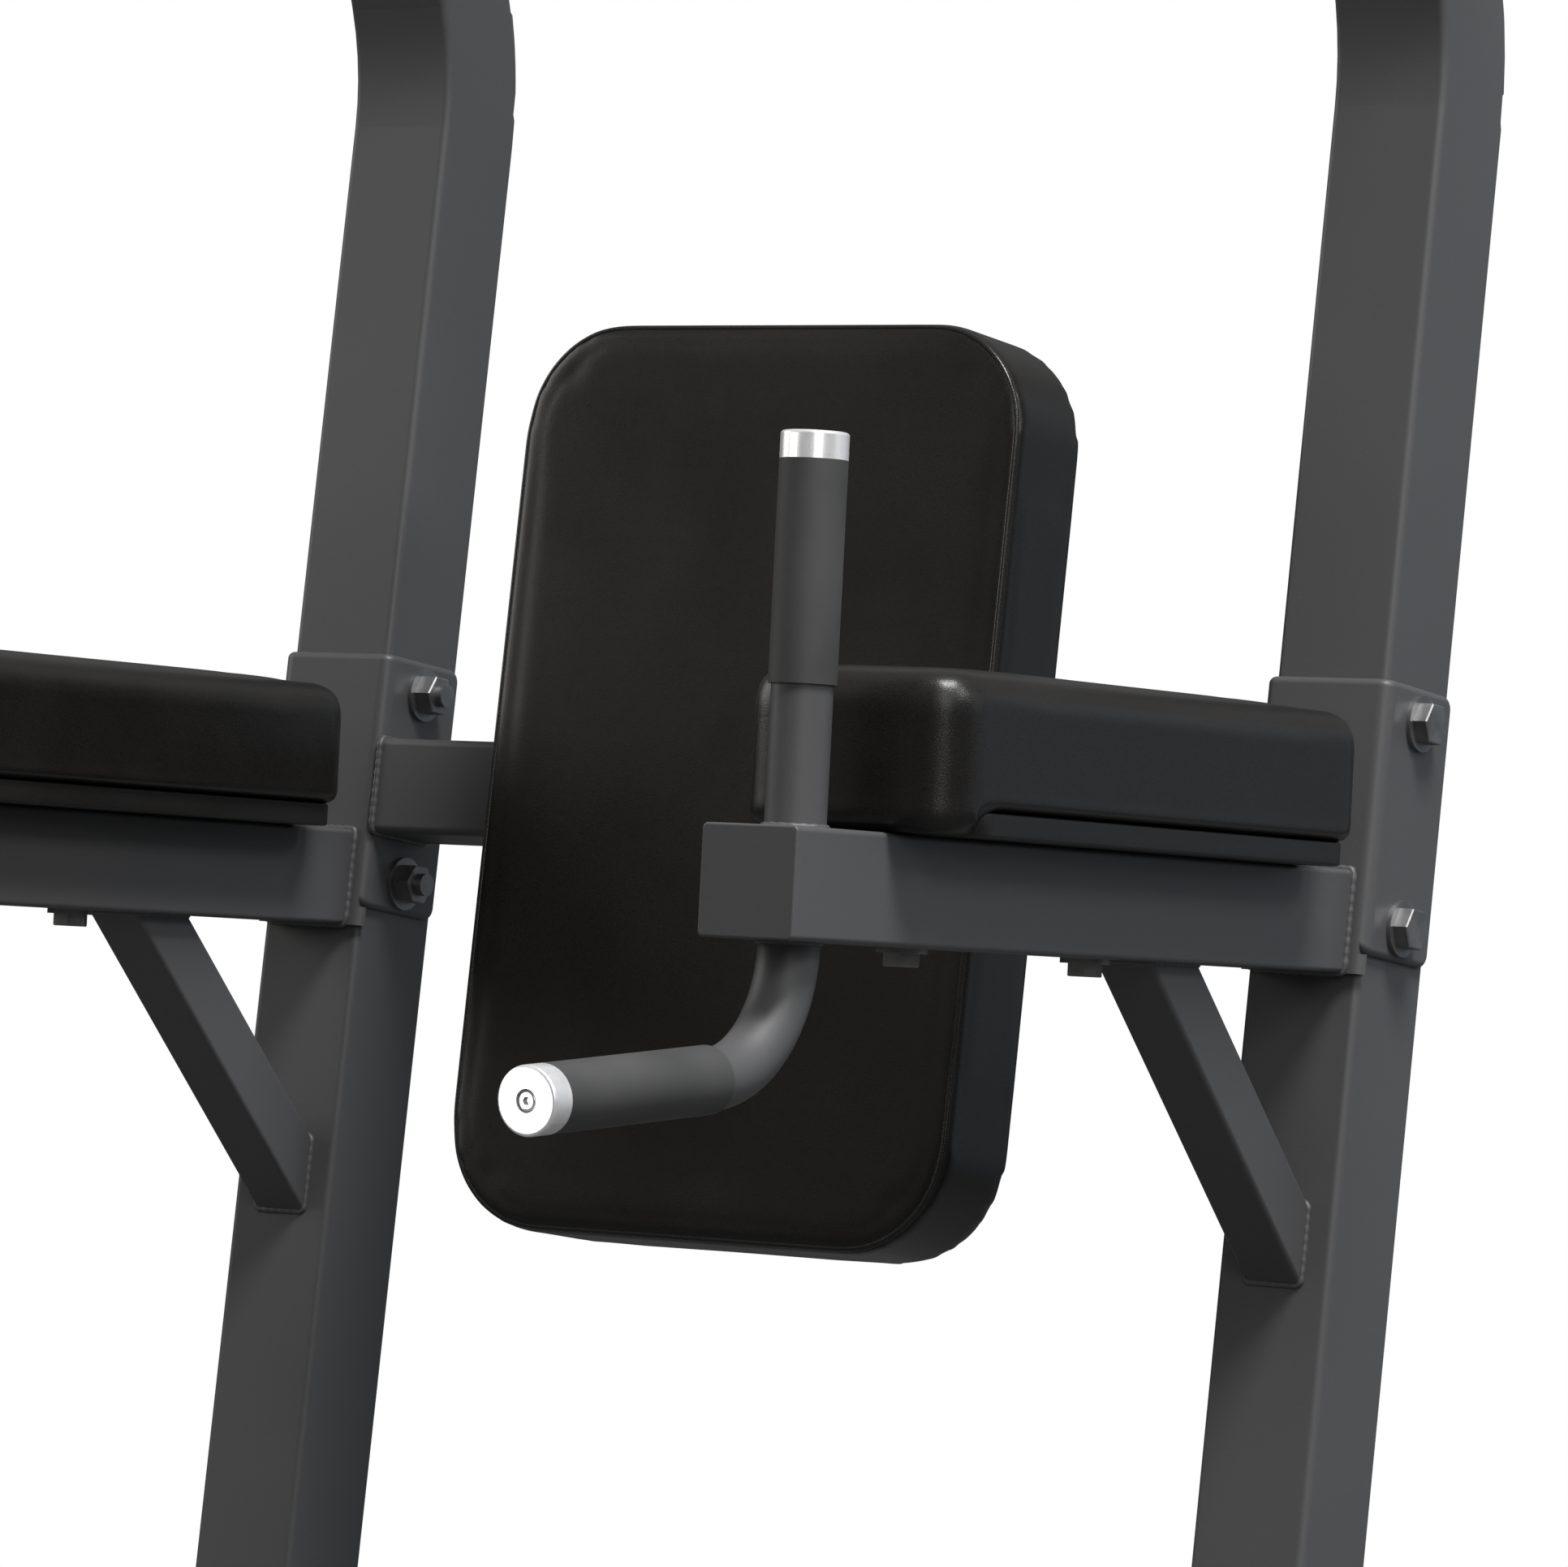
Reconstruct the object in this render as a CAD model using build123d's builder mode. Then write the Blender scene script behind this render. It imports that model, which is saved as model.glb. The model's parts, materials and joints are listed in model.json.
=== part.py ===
"""Power tower: pull-up bar, dip handles, armrests and a backrest on two leaning uprights.

X runs across the machine, Y runs from front (-) to back (+), Z is up and the floor is Z = 0.
The pieces are drawn with the uprights' centre lines meeting the floor at Y = 0.  Each saved piece
is then moved back by MIDDLE_Y, which puts the origin at the floor in the middle of the machine's
overall box.  Lengths in millimetres, angles in degrees.
"""

from build123d import *
from math import cos, radians, sin, tan
import os

# ---- driving dimensions: uprights and arms ----
MIDDLE_Y = 55.9  # from the middle of the overall box back to the foot of the uprights' centre lines
LEAN = 5.4  # the uprights lean back by this much
MAST = 63.5  # side of the square upright tube
MAST_WALL = 2.5
MAST_CORNER = 4.0
MAST_X = 305.5  # half the distance between the two uprights
ARM = 50.8  # side of the square arm tube and of the crossbars
ARM_WALL = 2.5
ARM_CORNER = 2.6
ARM_TOP = 1180.0  # height of the arms' top face
ARM_REACH = 528.0  # from the upright's centre line to the arm's front end
END_PLATE = 3.0

# ---- U bracket round each upright ----
PLATE = 4.0
BRACKET_BEND = 7.0  # outside radius of its two bends
BRACKET_EDGE = 3.5
BRACKET_UP = 91.8  # measured along the upright from the arms' top face
BRACKET_DOWN = 44.5
BRACKET_BACK = 29.1  # flange depth behind the upright's centre line
WEB_DROP = 10.0  # the web reaches this far below the flanges
NOTCH = 8.0  # relief at the lower front corner of each flange
BOLT_UP = 74.0
BOLT_DOWN = 28.0
BOLT_BACK = -3.0  # the bolts pass a little ahead of the upright's centre line
BOLT_D = 12.0
BOLT_GAP = 0.3  # radial clearance of the bolt holes

# ---- diagonal brace ----
BRACE_WIDTH = 31.75
BRACE_DEPTH = 31.75
BRACE_WALL = 2.0
BRACE_HEAD = 208.0  # front of its top end, ahead of the upright's centre line
BRACE_FOOT = 208.5  # lowest point of its lower end, below the arms' top face

# ---- handles ----
TUBE_D = 28.0
TUBE_WALL = 2.0
GRIP_D = 30.9
HANDLE_REACH = 492.0
HANDLE_UP = 163.5  # top of the upright grip above the arm
GRIP_UP_LENGTH = 100.0
DIP_DROP = 108.4  # where the two centre lines would cross, below the arms' top face
DIP_SLOPE = 4.8
DIP_BEND = 62.0
DIP_LENGTH = 182.4  # from that crossing to the end of the tube
DIP_GRIP_LENGTH = 122.0
CAP_LENGTH = 12.5
CAP_EDGE = 1.6
CAP_SPIGOT = 12.0

# ---- armrest pads and backrest ----
PAD_WIDTH = 120.0
PAD_BACK = 82.0  # from the upright's centre line at arm height to the pad's back end
PAD_FRONT = 458.0
PAD_BOARD = 11.5
PAD_TOP = 75.0
PAD_CORNER = 25.0
PAD_EDGE = 16.0
PAD_INSET = 5.0
PAD_BOLTS = (241.0, 400.0)
BACK_WIDTH = 303.0
BACK_UP = 258.5
BACK_DOWN = 213.3
BACK_DEPTH = 63.3
BACK_CORNER = 57.0
BACK_EDGE = 5.0
BACK_REAR_EDGE = 2.0
BACK_BOARD = 12.0
BACK_INSET = 20.0
BACK_SHELL = 0.5  # the back of the board stands this far behind the back of the cushion
BACK_BOLT_X = 90.0
CROSS_UP = 21.1  # centre of the backrest's crossbar above the arms' top face

# ---- upper section and pull-up bar ----
BEND_START = 380.0  # along the upright from the arms' top face
BEND_R = 175.0
BEND_ANGLE = 25.4
TOP_LENGTH = 500.0
BAR_D = 31.8
BAR_WALL = 2.6
BAR_GRIP_D = 36.0
BAR_STRAIGHT = 400.0  # half the straight part
BAR_BEND_R = 80.0
BAR_DROOP = 30.0
BAR_FORWARD = 30.0  # the drooping ends also turn this far forward
BAR_END = 180.0
BAR_BELOW_TOP = 45.0
CENTRE_GRIP_X = 205.0  # outer end of each middle grip
CENTRE_GRIP_LENGTH = 140.0

# ---- base ----
RUNNER_Z = 34.0
RUNNER_FRONT = -560.0
RUNNER_BACK = 460.0
FOOT_PLATE = 8.0
FOOT_Y = 9.0  # middle of the foot plates
FOOT_BOLT_Y = 58.0
FOOT_PLATE_LENGTH = 160.0
NUT_END = 14.0  # the bolts reach this far past the last washer
CROSS_Y = 420.0
LOWER_BAR_Z = 215.0
STAY = 38.1
STAY_TOP = 640.0
STAY_FOOT_Y = 385.0
PEG_Z = 350.0
PEG_LENGTH = 135.0
SLEEVE_START = 8.0
SLEEVE_WALL = 4.0
RIBS = 11
RIB_PITCH = 11.0
RIB_WIDTH = 5.0
RIB_HEIGHT = 1.0
FOOT_INSET = 45.0
STUD_D = 12.0
RUN_GAP = 0.06  # radial running clearance of the levelling studs
STUD_LENGTH = 54.0
FOOT_PAD_D = 52.0
FOOT_PAD_H = 12.0
FOOT_DISC_D = 44.0
FOOT_DISC_H = 4.0
FOOT_HEX = 17.0  # across flats
FOOT_HEX_H = 5.0
NUT_HEX = 19.0  # across flats
LOCK_NUT_H = 8.0
WELD_NUT_H = 10.0

PLUG = 4.0  # thickness of a plastic plug's head
OVERCUT = 40.0  # sloping tubes are made this much too long at each end, then cut
WASHER = 2.5

# ---- places that follow from the driving dimensions ----
HALF = MAST / 2
MAST_BORE = MAST - 2 * MAST_WALL
SIN, COS = sin(radians(LEAN)), cos(radians(LEAN))
MAST_Y = ARM_TOP * tan(radians(LEAN))  # the upright's centre line at the arms' top face
ARM_S = ARM_TOP / COS  # the same point, measured along the upright
ARM_FRONT = MAST_Y - ARM_REACH
ARM_BOTTOM = ARM_TOP - ARM
HANDLE_Y = MAST_Y - HANDLE_REACH
FACE = HALF + PLATE  # front of the bracket, ahead of the upright's centre line
RUNNER_TOP = RUNNER_Z + MAST
MAST_FOOT = RUNNER_TOP + FOOT_PLATE


def mast(x, back=0.0, up=0.0):
    """Plane square to the leaning upright at x, moved back from its centre line and up along it."""
    s = ARM_S + up
    return Plane(origin=(x, back * COS + s * SIN, s * COS - back * SIN), x_dir=(1, 0, 0), z_dir=(0, SIN, COS))


def mast_side(x, up=0.0):
    """Side view of the upright: local X runs back, local Y runs up along it, local Z is +X."""
    return Plane(origin=mast(x, 0, up).origin, x_dir=(0, COS, -SIN), z_dir=(1, 0, 0))


def rect_tube(plane, width, depth, length, wall, corner):
    """Rectangular tube that stands on a plane."""
    with BuildPart() as tube:
        with BuildSketch(plane):
            RectangleRounded(width, depth, corner)
            RectangleRounded(width - 2 * wall, depth - 2 * wall, corner - wall + 0.4, mode=Mode.SUBTRACT)
        extrude(amount=length)
    return tube.part


def round_tube(plane, outer, inner, length):
    """Round tube or sleeve that stands on a plane."""
    with BuildPart() as tube:
        with BuildSketch(plane):
            Circle(outer / 2)
            Circle(inner / 2, mode=Mode.SUBTRACT)
        extrude(amount=length)
    return tube.part


def washer(plane, bolt_d):
    """Flat washer that lies on a plane."""
    return round_tube(plane, 2 * bolt_d + 4, bolt_d + 1, WASHER)


def hex_bolt(plane, bolt_d, length):
    """Hexagon bolt: its head stands on the plane and its shank runs back from it."""
    with BuildPart() as bolt:
        with BuildSketch(plane):
            RegularPolygon(0.8 * bolt_d, 6, major_radius=False)
        extrude(amount=0.62 * bolt_d)
        chamfer(bolt.faces().sort_by(Axis(plane.origin, plane.z_dir))[-1].edges(), 0.05 * bolt_d)
        with BuildSketch(plane):
            Circle(bolt_d / 2)
        extrude(amount=-length)
    return bolt.part


def hex_nut(plane, bolt_d, gap=0.0):
    """Hexagon nut that stands on a plane."""
    with BuildPart() as nut:
        with BuildSketch(plane):
            RegularPolygon(0.8 * bolt_d, 6, major_radius=False)
        extrude(amount=0.8 * bolt_d)
        chamfer(nut.faces().sort_by(Axis(plane.origin, plane.z_dir))[-1].edges(), 0.05 * bolt_d)
        with BuildSketch(plane):
            Circle(bolt_d / 2 + gap)
        extrude(amount=0.8 * bolt_d, mode=Mode.SUBTRACT)
    return nut.part


def save(piece, name):
    """Move a finished piece to the machine's own origin, label it and write it."""
    placed = piece.part.moved(Location((0, MIDDLE_Y, 0)))
    placed.label = name
    export_step(placed, f"parts/{name}.step")


os.makedirs("parts", exist_ok=True)

# ================= uprights =================
# the centre line: straight and leaning back, then bent forward towards the pull-up bar
BEND_POINT = mast(-MAST_X, 0, BEND_START)
BEND_CENTRE = mast(-MAST_X, -BEND_R, BEND_START).origin
TOP_LEAN = BEND_ANGLE - LEAN
BEND_END = Vector(
    -MAST_X,
    BEND_CENTRE.Y + BEND_R * cos(radians(TOP_LEAN)),
    BEND_CENTRE.Z + BEND_R * sin(radians(TOP_LEAN)),
)
TOP_DIR = Vector(0, -sin(radians(TOP_LEAN)), cos(radians(TOP_LEAN)))
TOP_END = BEND_END + TOP_DIR * TOP_LENGTH
BAR_POINT = TOP_END - TOP_DIR * BAR_BELOW_TOP
BAR_Y, BAR_Z = BAR_POINT.Y, BAR_POINT.Z

with BuildPart() as upright_left:
    with BuildLine():
        straight = Line(mast(-MAST_X, 0, -ARM_S).origin, BEND_POINT.origin)
        bend = TangentArc(straight @ 1, BEND_END, tangent=straight % 1)
        top = Line(BEND_END, TOP_END)
    with BuildSketch(mast(-MAST_X, 0, -ARM_S)):
        RectangleRounded(MAST, MAST, MAST_CORNER)
        RectangleRounded(MAST_BORE, MAST_BORE, MAST_CORNER - MAST_WALL, mode=Mode.SUBTRACT)
    sweep()
    # level cut on the foot plate
    split(bisect_by=Plane.XY.offset(MAST_FOOT), keep=Keep.TOP)
    # cross holes for the bracket bolts, and the pull-up bar
    for up in (BOLT_UP, -BOLT_DOWN):
        with BuildSketch(mast_side(-MAST_X - HALF - 1, up)):
            with Locations((BOLT_BACK, 0)):
                Circle(BOLT_D / 2 + BOLT_GAP)
        extrude(amount=MAST + 2, mode=Mode.SUBTRACT)
    with BuildSketch(Plane(origin=(-MAST_X - HALF - 1, BAR_Y, BAR_Z), z_dir=(1, 0, 0))):
        Circle(BAR_D / 2 + 0.2)
    extrude(amount=MAST + 2, mode=Mode.SUBTRACT)
save(upright_left, "upright_left")

with BuildPart() as upright_right:
    mirror(upright_left.part, about=Plane.YZ)
save(upright_right, "upright_right")

with BuildPart() as upright_top_plugs:
    for x in (-MAST_X, MAST_X):
        lid = Plane(origin=(x, TOP_END.Y, TOP_END.Z), x_dir=(1, 0, 0), z_dir=TOP_DIR)
        with BuildSketch(lid):
            RectangleRounded(MAST, MAST, MAST_CORNER)
        extrude(amount=PLUG)
        with BuildSketch(lid):
            RectangleRounded(MAST_BORE - 1, MAST_BORE - 1, 1.5)
        extrude(amount=-16)
    fillet(upright_top_plugs.faces().sort_by(Axis((0, 0, 0), TOP_DIR))[-2:].edges(), 1.5)
save(upright_top_plugs, "upright_top_plugs")

# ================= U brackets, crossbar =================
def on_bracket_outside(edge):
    """Whether an edge lies on the outer surface of the left bracket."""
    middle = edge @ 0.5
    ahead = middle.Z * SIN - middle.Y * COS
    return abs(middle.X + MAST_X) > FACE - BRACKET_BEND / 3 or ahead > FACE - BRACKET_BEND / 3


with BuildPart() as bracket_left:
    depth = BRACKET_BACK + FACE
    foot = mast(-MAST_X, (BRACKET_BACK - FACE) / 2, -BRACKET_DOWN - WEB_DROP)
    with BuildSketch(foot):
        RectangleRounded(2 * FACE, depth, BRACKET_BEND)
        with Locations((0, depth / 2 - 5)):
            Rectangle(2 * FACE, 10)
        with Locations((0, PLATE + 20)):
            RectangleRounded(MAST, depth + 40, BRACKET_BEND - PLATE, mode=Mode.SUBTRACT)
    extrude(amount=BRACKET_UP + BRACKET_DOWN + WEB_DROP)
    # the flanges stop above the web's lower edge, with a round-cornered relief beside each bend
    for side in (-1, 1):
        with BuildSketch(mast_side(-MAST_X + side * HALF)):
            with BuildLine():
                Polyline((-FACE, NOTCH - BRACKET_DOWN), (-FACE - 1, NOTCH - BRACKET_DOWN),
                         (-FACE - 1, -BRACKET_DOWN), (PLATE - FACE, -BRACKET_DOWN),
                         (PLATE - FACE, -BRACKET_DOWN - 20), (FACE, -BRACKET_DOWN - 20),
                         (FACE, -BRACKET_DOWN), (NOTCH - FACE, -BRACKET_DOWN))
                RadiusArc((NOTCH - FACE, -BRACKET_DOWN), (-FACE, NOTCH - BRACKET_DOWN), NOTCH)
            make_face()
        extrude(amount=side * 20, mode=Mode.SUBTRACT)
    # rounded free corners of the flanges
    rim = bracket_left.edges().filter_by(Axis.X).filter_by(lambda e: e.length < PLATE + 0.01)
    fillet(rim.sort_by(Axis((0, 0, 0), (0, COS, -SIN)))[-4:], 7)
    # soft top edge round the outside of the U
    top = bracket_left.faces().sort_by(Axis((0, 0, 0), (0, SIN, COS)))[-1]
    fillet(top.edges().filter_by(on_bracket_outside), BRACKET_EDGE)
    for up in (BOLT_UP, -BOLT_DOWN):
        with BuildSketch(mast_side(-MAST_X - FACE - 1, up)):
            with Locations((BOLT_BACK, 0)):
                Circle(BOLT_D / 2 + 2 * BOLT_GAP)
        extrude(amount=2 * FACE + 2, mode=Mode.SUBTRACT)
save(bracket_left, "bracket_left")

with BuildPart() as bracket_right:
    mirror(bracket_left.part, about=Plane.YZ)
save(bracket_right, "bracket_right")

with BuildPart() as backrest_crossbar:
    start = mast(0, -FACE + ARM / 2, CROSS_UP)
    inner = MAST_X - FACE
    across = Plane(origin=start.origin - Vector(inner, 0, 0), x_dir=(0, COS, -SIN), z_dir=(1, 0, 0))
    add(rect_tube(across, ARM, ARM, 2 * inner, ARM_WALL, 4.0))
    for x in (-BACK_BOLT_X, BACK_BOLT_X):
        ahead = mast(x, -FACE - 1, CROSS_UP).origin
        with BuildSketch(Plane(origin=ahead, x_dir=(1, 0, 0), z_dir=(0, COS, -SIN))):
            Circle(4.5)
        extrude(amount=ARM + 2, mode=Mode.SUBTRACT)
save(backrest_crossbar, "backrest_crossbar")

# ================= arms and braces =================
WEB_FRONT = Plane(origin=mast(0, -FACE).origin, x_dir=(1, 0, 0), z_dir=(0, COS, -SIN))
MAST_FRONT = Plane(origin=mast(0, -HALF).origin, x_dir=(1, 0, 0), z_dir=(0, COS, -SIN))

with BuildPart() as arm_left:
    nose = Plane(origin=(-MAST_X, ARM_FRONT + END_PLATE, ARM_TOP - ARM / 2), x_dir=(1, 0, 0), z_dir=(0, 1, 0))
    add(rect_tube(nose, ARM, ARM, ARM_REACH, ARM_WALL, ARM_CORNER))
    split(bisect_by=WEB_FRONT, keep=Keep.BOTTOM)
    with BuildSketch(Plane.XY.offset(ARM_BOTTOM - 1)):
        with Locations((-MAST_X, HANDLE_Y)):
            Circle(TUBE_D / 2 + 0.2)
        with Locations([(-MAST_X, MAST_Y - y) for y in PAD_BOLTS]):
            Circle(5.3)
    extrude(amount=ARM + 2, mode=Mode.SUBTRACT)
save(arm_left, "arm_left")

with BuildPart() as arm_right:
    mirror(arm_left.part, about=Plane.YZ)
save(arm_right, "arm_right")

with BuildPart() as arm_end_plates:
    with BuildSketch(Plane(origin=(0, ARM_FRONT, ARM_TOP - ARM / 2), x_dir=(1, 0, 0), z_dir=(0, 1, 0))):
        with Locations((-MAST_X, 0), (MAST_X, 0)):
            RectangleRounded(ARM, ARM, ARM_CORNER)
    extrude(amount=END_PLATE)
    fillet(arm_end_plates.faces().sort_by(Axis.Y)[:2].edges(), 1.2)
save(arm_end_plates, "arm_end_plates")

FOOT_POINT = mast(-MAST_X, -HALF, -BRACE_FOOT).origin
HEAD_POINT = Vector(-MAST_X, MAST_Y - BRACE_HEAD, ARM_BOTTOM)
BRACE_RUN = HEAD_POINT - FOOT_POINT
with BuildPart() as brace_left:
    # the tube is made too long at both ends, then cut flush with the arm and the upright
    along = BRACE_RUN.normalized()
    up_back = Vector(0, along.Z, -along.Y)
    start = FOOT_POINT + up_back * (BRACE_DEPTH / 2) - along * OVERCUT
    low_end = Plane(origin=start, x_dir=(1, 0, 0), z_dir=along)
    add(rect_tube(low_end, BRACE_WIDTH, BRACE_DEPTH, BRACE_RUN.length + 2 * OVERCUT, BRACE_WALL, 2.5))
    split(bisect_by=Plane.XY.offset(ARM_BOTTOM), keep=Keep.BOTTOM)
    split(bisect_by=MAST_FRONT, keep=Keep.BOTTOM)
save(brace_left, "brace_left")

with BuildPart() as brace_right:
    mirror(brace_left.part, about=Plane.YZ)
save(brace_right, "brace_right")

# ================= handles =================
ELBOW = Vector(-MAST_X, HANDLE_Y, ARM_TOP - DIP_DROP)
DIP_DIR = Vector(0, -cos(radians(DIP_SLOPE)), -sin(radians(DIP_SLOPE)))
DIP_TANGENT = DIP_BEND * tan(radians((90 - DIP_SLOPE) / 2))
DIP_END = ELBOW + DIP_DIR * DIP_LENGTH
HANDLE_TOP = Vector(-MAST_X, HANDLE_Y, ARM_TOP + HANDLE_UP)

with BuildPart() as handle_left:
    with BuildLine():
        drop = Line(HANDLE_TOP, ELBOW + Vector(0, 0, DIP_TANGENT))
        elbow = TangentArc(drop @ 1, ELBOW + DIP_DIR * DIP_TANGENT, tangent=(0, 0, -1))
        reach = Line(elbow @ 1, DIP_END)
    with BuildSketch(Plane(origin=HANDLE_TOP, x_dir=(1, 0, 0), z_dir=(0, 0, -1))):
        Circle(TUBE_D / 2)
        Circle(TUBE_D / 2 - TUBE_WALL, mode=Mode.SUBTRACT)
    sweep()
save(handle_left, "handle_left")

with BuildPart() as handle_right:
    mirror(handle_left.part, about=Plane.YZ)
save(handle_right, "handle_right")


def both_sides(part, name):
    """Write a piece of the left side together with its mirror image."""
    with BuildPart() as pair:
        add(part)
        mirror(part, about=Plane.YZ)
    save(pair, name)


def end_cap(plane, outer, bore, length):
    """Turned end cap: a round-edged head on the plane, with a spigot that goes down into the tube."""
    with BuildPart() as cap:
        with BuildSketch(plane):
            Circle(outer / 2)
        extrude(amount=length)
        fillet(cap.faces().sort_by(Axis(plane.origin, plane.z_dir))[-1].edges(), CAP_EDGE)
        with BuildSketch(plane):
            Circle(bore / 2)
        extrude(amount=-CAP_SPIGOT)
        # countersink and through hole for the centre screw
        with BuildSketch(plane.offset(length)):
            Circle(5.2)
        extrude(amount=-3, mode=Mode.SUBTRACT)
        with BuildSketch(plane.offset(length)):
            Circle(2.6)
        extrude(amount=-length - CAP_SPIGOT, mode=Mode.SUBTRACT)
    return cap.part


def cap_screw(plane, length):
    """Small pan screw in the middle of an end cap whose head stands on the plane."""
    with BuildPart() as screw:
        with BuildSketch(plane.offset(length - 3)):
            Circle(4.6)
        extrude(amount=2.6)
        fillet(screw.faces().sort_by(Axis(plane.origin, plane.z_dir))[-1].edges(), 1.2)
        with BuildSketch(plane.offset(length - 3)):
            Circle(2.4)
        extrude(amount=-length - 6)
        with BuildSketch(plane.offset(length - 0.4)):
            RegularPolygon(2.0, 6)
        extrude(amount=-1.6, mode=Mode.SUBTRACT)
    return screw.part


BORE = TUBE_D - 2 * TUBE_WALL - 0.1
TOP_CAP = Plane(origin=HANDLE_TOP, x_dir=(1, 0, 0), z_dir=(0, 0, 1))
DIP_CAP = Plane(origin=DIP_END, x_dir=(1, 0, 0), z_dir=DIP_DIR)

both_sides(round_tube(TOP_CAP.offset(-GRIP_UP_LENGTH), GRIP_D, TUBE_D, GRIP_UP_LENGTH), "upper_grips")
both_sides(round_tube(DIP_CAP.offset(-DIP_GRIP_LENGTH), GRIP_D, TUBE_D, DIP_GRIP_LENGTH), "dip_grips")
both_sides(end_cap(TOP_CAP, GRIP_D, BORE, CAP_LENGTH), "upper_end_caps")
both_sides(end_cap(DIP_CAP, GRIP_D, BORE, CAP_LENGTH), "dip_end_caps")
both_sides(cap_screw(TOP_CAP, CAP_LENGTH), "upper_cap_screws")
both_sides(cap_screw(DIP_CAP, CAP_LENGTH), "dip_cap_screws")

# ================= armrest pads =================
PAD_LENGTH = PAD_FRONT - PAD_BACK
PAD_MID = MAST_Y - (PAD_FRONT + PAD_BACK) / 2

with BuildPart() as armrest_left:
    with BuildSketch(Plane.XY.offset(ARM_TOP + PAD_BOARD)):
        with Locations((-MAST_X, PAD_MID)):
            RectangleRounded(PAD_WIDTH, PAD_LENGTH, PAD_CORNER)
    extrude(amount=PAD_TOP - PAD_BOARD)
    fillet(armrest_left.faces().sort_by(Axis.Z)[-1].edges(), PAD_EDGE)
    fillet(armrest_left.faces().sort_by(Axis.Z)[0].edges(), 2)
save(armrest_left, "armrest_left")

with BuildPart() as armrest_right:
    mirror(armrest_left.part, about=Plane.YZ)
save(armrest_right, "armrest_right")

with BuildPart() as armrest_boards:
    with BuildSketch(Plane.XY.offset(ARM_TOP)):
        with Locations((-MAST_X, PAD_MID), (MAST_X, PAD_MID)):
            RectangleRounded(PAD_WIDTH - 2 * PAD_INSET, PAD_LENGTH - 2 * PAD_INSET, PAD_CORNER - PAD_INSET)
        with Locations([(x, MAST_Y - y) for x in (-MAST_X, MAST_X) for y in PAD_BOLTS]):
            Circle(5.1, mode=Mode.SUBTRACT)
    extrude(amount=PAD_BOARD)
    fillet(armrest_boards.faces().sort_by(Axis.Z)[:2].edges().group_by(SortBy.LENGTH)[-1], 1.0)
save(armrest_boards, "armrest_boards")

with BuildPart() as armrest_bolts:
    for x in (-MAST_X, MAST_X):
        for y in PAD_BOLTS:
            under = Plane(origin=(x, MAST_Y - y, ARM_BOTTOM - WASHER), x_dir=(1, 0, 0), z_dir=(0, 0, -1))
            add(hex_bolt(under, 10, ARM + WASHER + PAD_BOARD - 2))
save(armrest_bolts, "armrest_bolts")

with BuildPart() as armrest_washers:
    for x in (-MAST_X, MAST_X):
        for y in PAD_BOLTS:
            under = Plane(origin=(x, MAST_Y - y, ARM_BOTTOM), x_dir=(1, 0, 0), z_dir=(0, 0, -1))
            add(washer(under, 10))
save(armrest_washers, "armrest_washers")

# ================= backrest =================
BACK_MID = (BACK_UP - BACK_DOWN) / 2
BACK_HEIGHT = BACK_UP + BACK_DOWN
BOARD_WIDTH = BACK_WIDTH - 2 * BACK_INSET
BOARD_HEIGHT = BACK_HEIGHT - 2 * BACK_INSET


def back_plane(back):
    """Plane parallel to the uprights' front, centred on the backrest, facing forward."""
    return Plane(origin=mast(0, back, BACK_MID).origin, x_dir=(1, 0, 0), z_dir=(0, -COS, SIN))


with BuildPart() as backrest_cushion:
    with BuildSketch(back_plane(-FACE - BACK_SHELL)):
        RectangleRounded(BACK_WIDTH, BACK_HEIGHT, BACK_CORNER)
    extrude(amount=BACK_DEPTH - BACK_SHELL)
    front = backrest_cushion.faces().sort_by(Axis((0, 0, 0), (0, -COS, SIN)))
    fillet(front[-1].edges(), BACK_EDGE)
    back = backrest_cushion.faces().sort_by(Axis((0, 0, 0), (0, COS, -SIN)))
    fillet(back[-1].edges(), BACK_REAR_EDGE)
    # pocket for the board
    with BuildSketch(back_plane(-FACE - BACK_SHELL)):
        RectangleRounded(BOARD_WIDTH, BOARD_HEIGHT, BACK_CORNER - BACK_INSET)
    extrude(amount=BACK_BOARD - BACK_SHELL, mode=Mode.SUBTRACT)
save(backrest_cushion, "backrest_cushion")

with BuildPart() as backrest_board:
    with BuildSketch(back_plane(-FACE)):
        RectangleRounded(BOARD_WIDTH - 1, BOARD_HEIGHT - 1, BACK_CORNER - BACK_INSET)
        with Locations([(x, CROSS_UP - BACK_MID) for x in (-BACK_BOLT_X, BACK_BOLT_X)]):
            Circle(4.1, mode=Mode.SUBTRACT)
    extrude(amount=BACK_BOARD)
save(backrest_board, "backrest_board")

with BuildPart() as backrest_bolts:
    for x in (-BACK_BOLT_X, BACK_BOLT_X):
        rear = Plane(origin=mast(x, ARM - FACE + WASHER, CROSS_UP).origin, x_dir=(1, 0, 0), z_dir=(0, COS, -SIN))
        add(hex_bolt(rear, 8, ARM + WASHER + BACK_BOARD - 1))
save(backrest_bolts, "backrest_bolts")

with BuildPart() as backrest_washers:
    for x in (-BACK_BOLT_X, BACK_BOLT_X):
        rear = Plane(origin=mast(x, ARM - FACE, CROSS_UP).origin, x_dir=(1, 0, 0), z_dir=(0, COS, -SIN))
        add(washer(rear, 8))
save(backrest_washers, "backrest_washers")

# ================= bracket fasteners =================
BOLT_UPS = (BOLT_UP, -BOLT_DOWN)


def across_bracket(side, x_out, up):
    """Plane on a side face of the left bracket: side -1 is the outer face, +1 the inner one."""
    spot = mast(-MAST_X + side * x_out, BOLT_BACK, up).origin
    return Plane(origin=spot, x_dir=(0, COS, -SIN), z_dir=(side, 0, 0))


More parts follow.
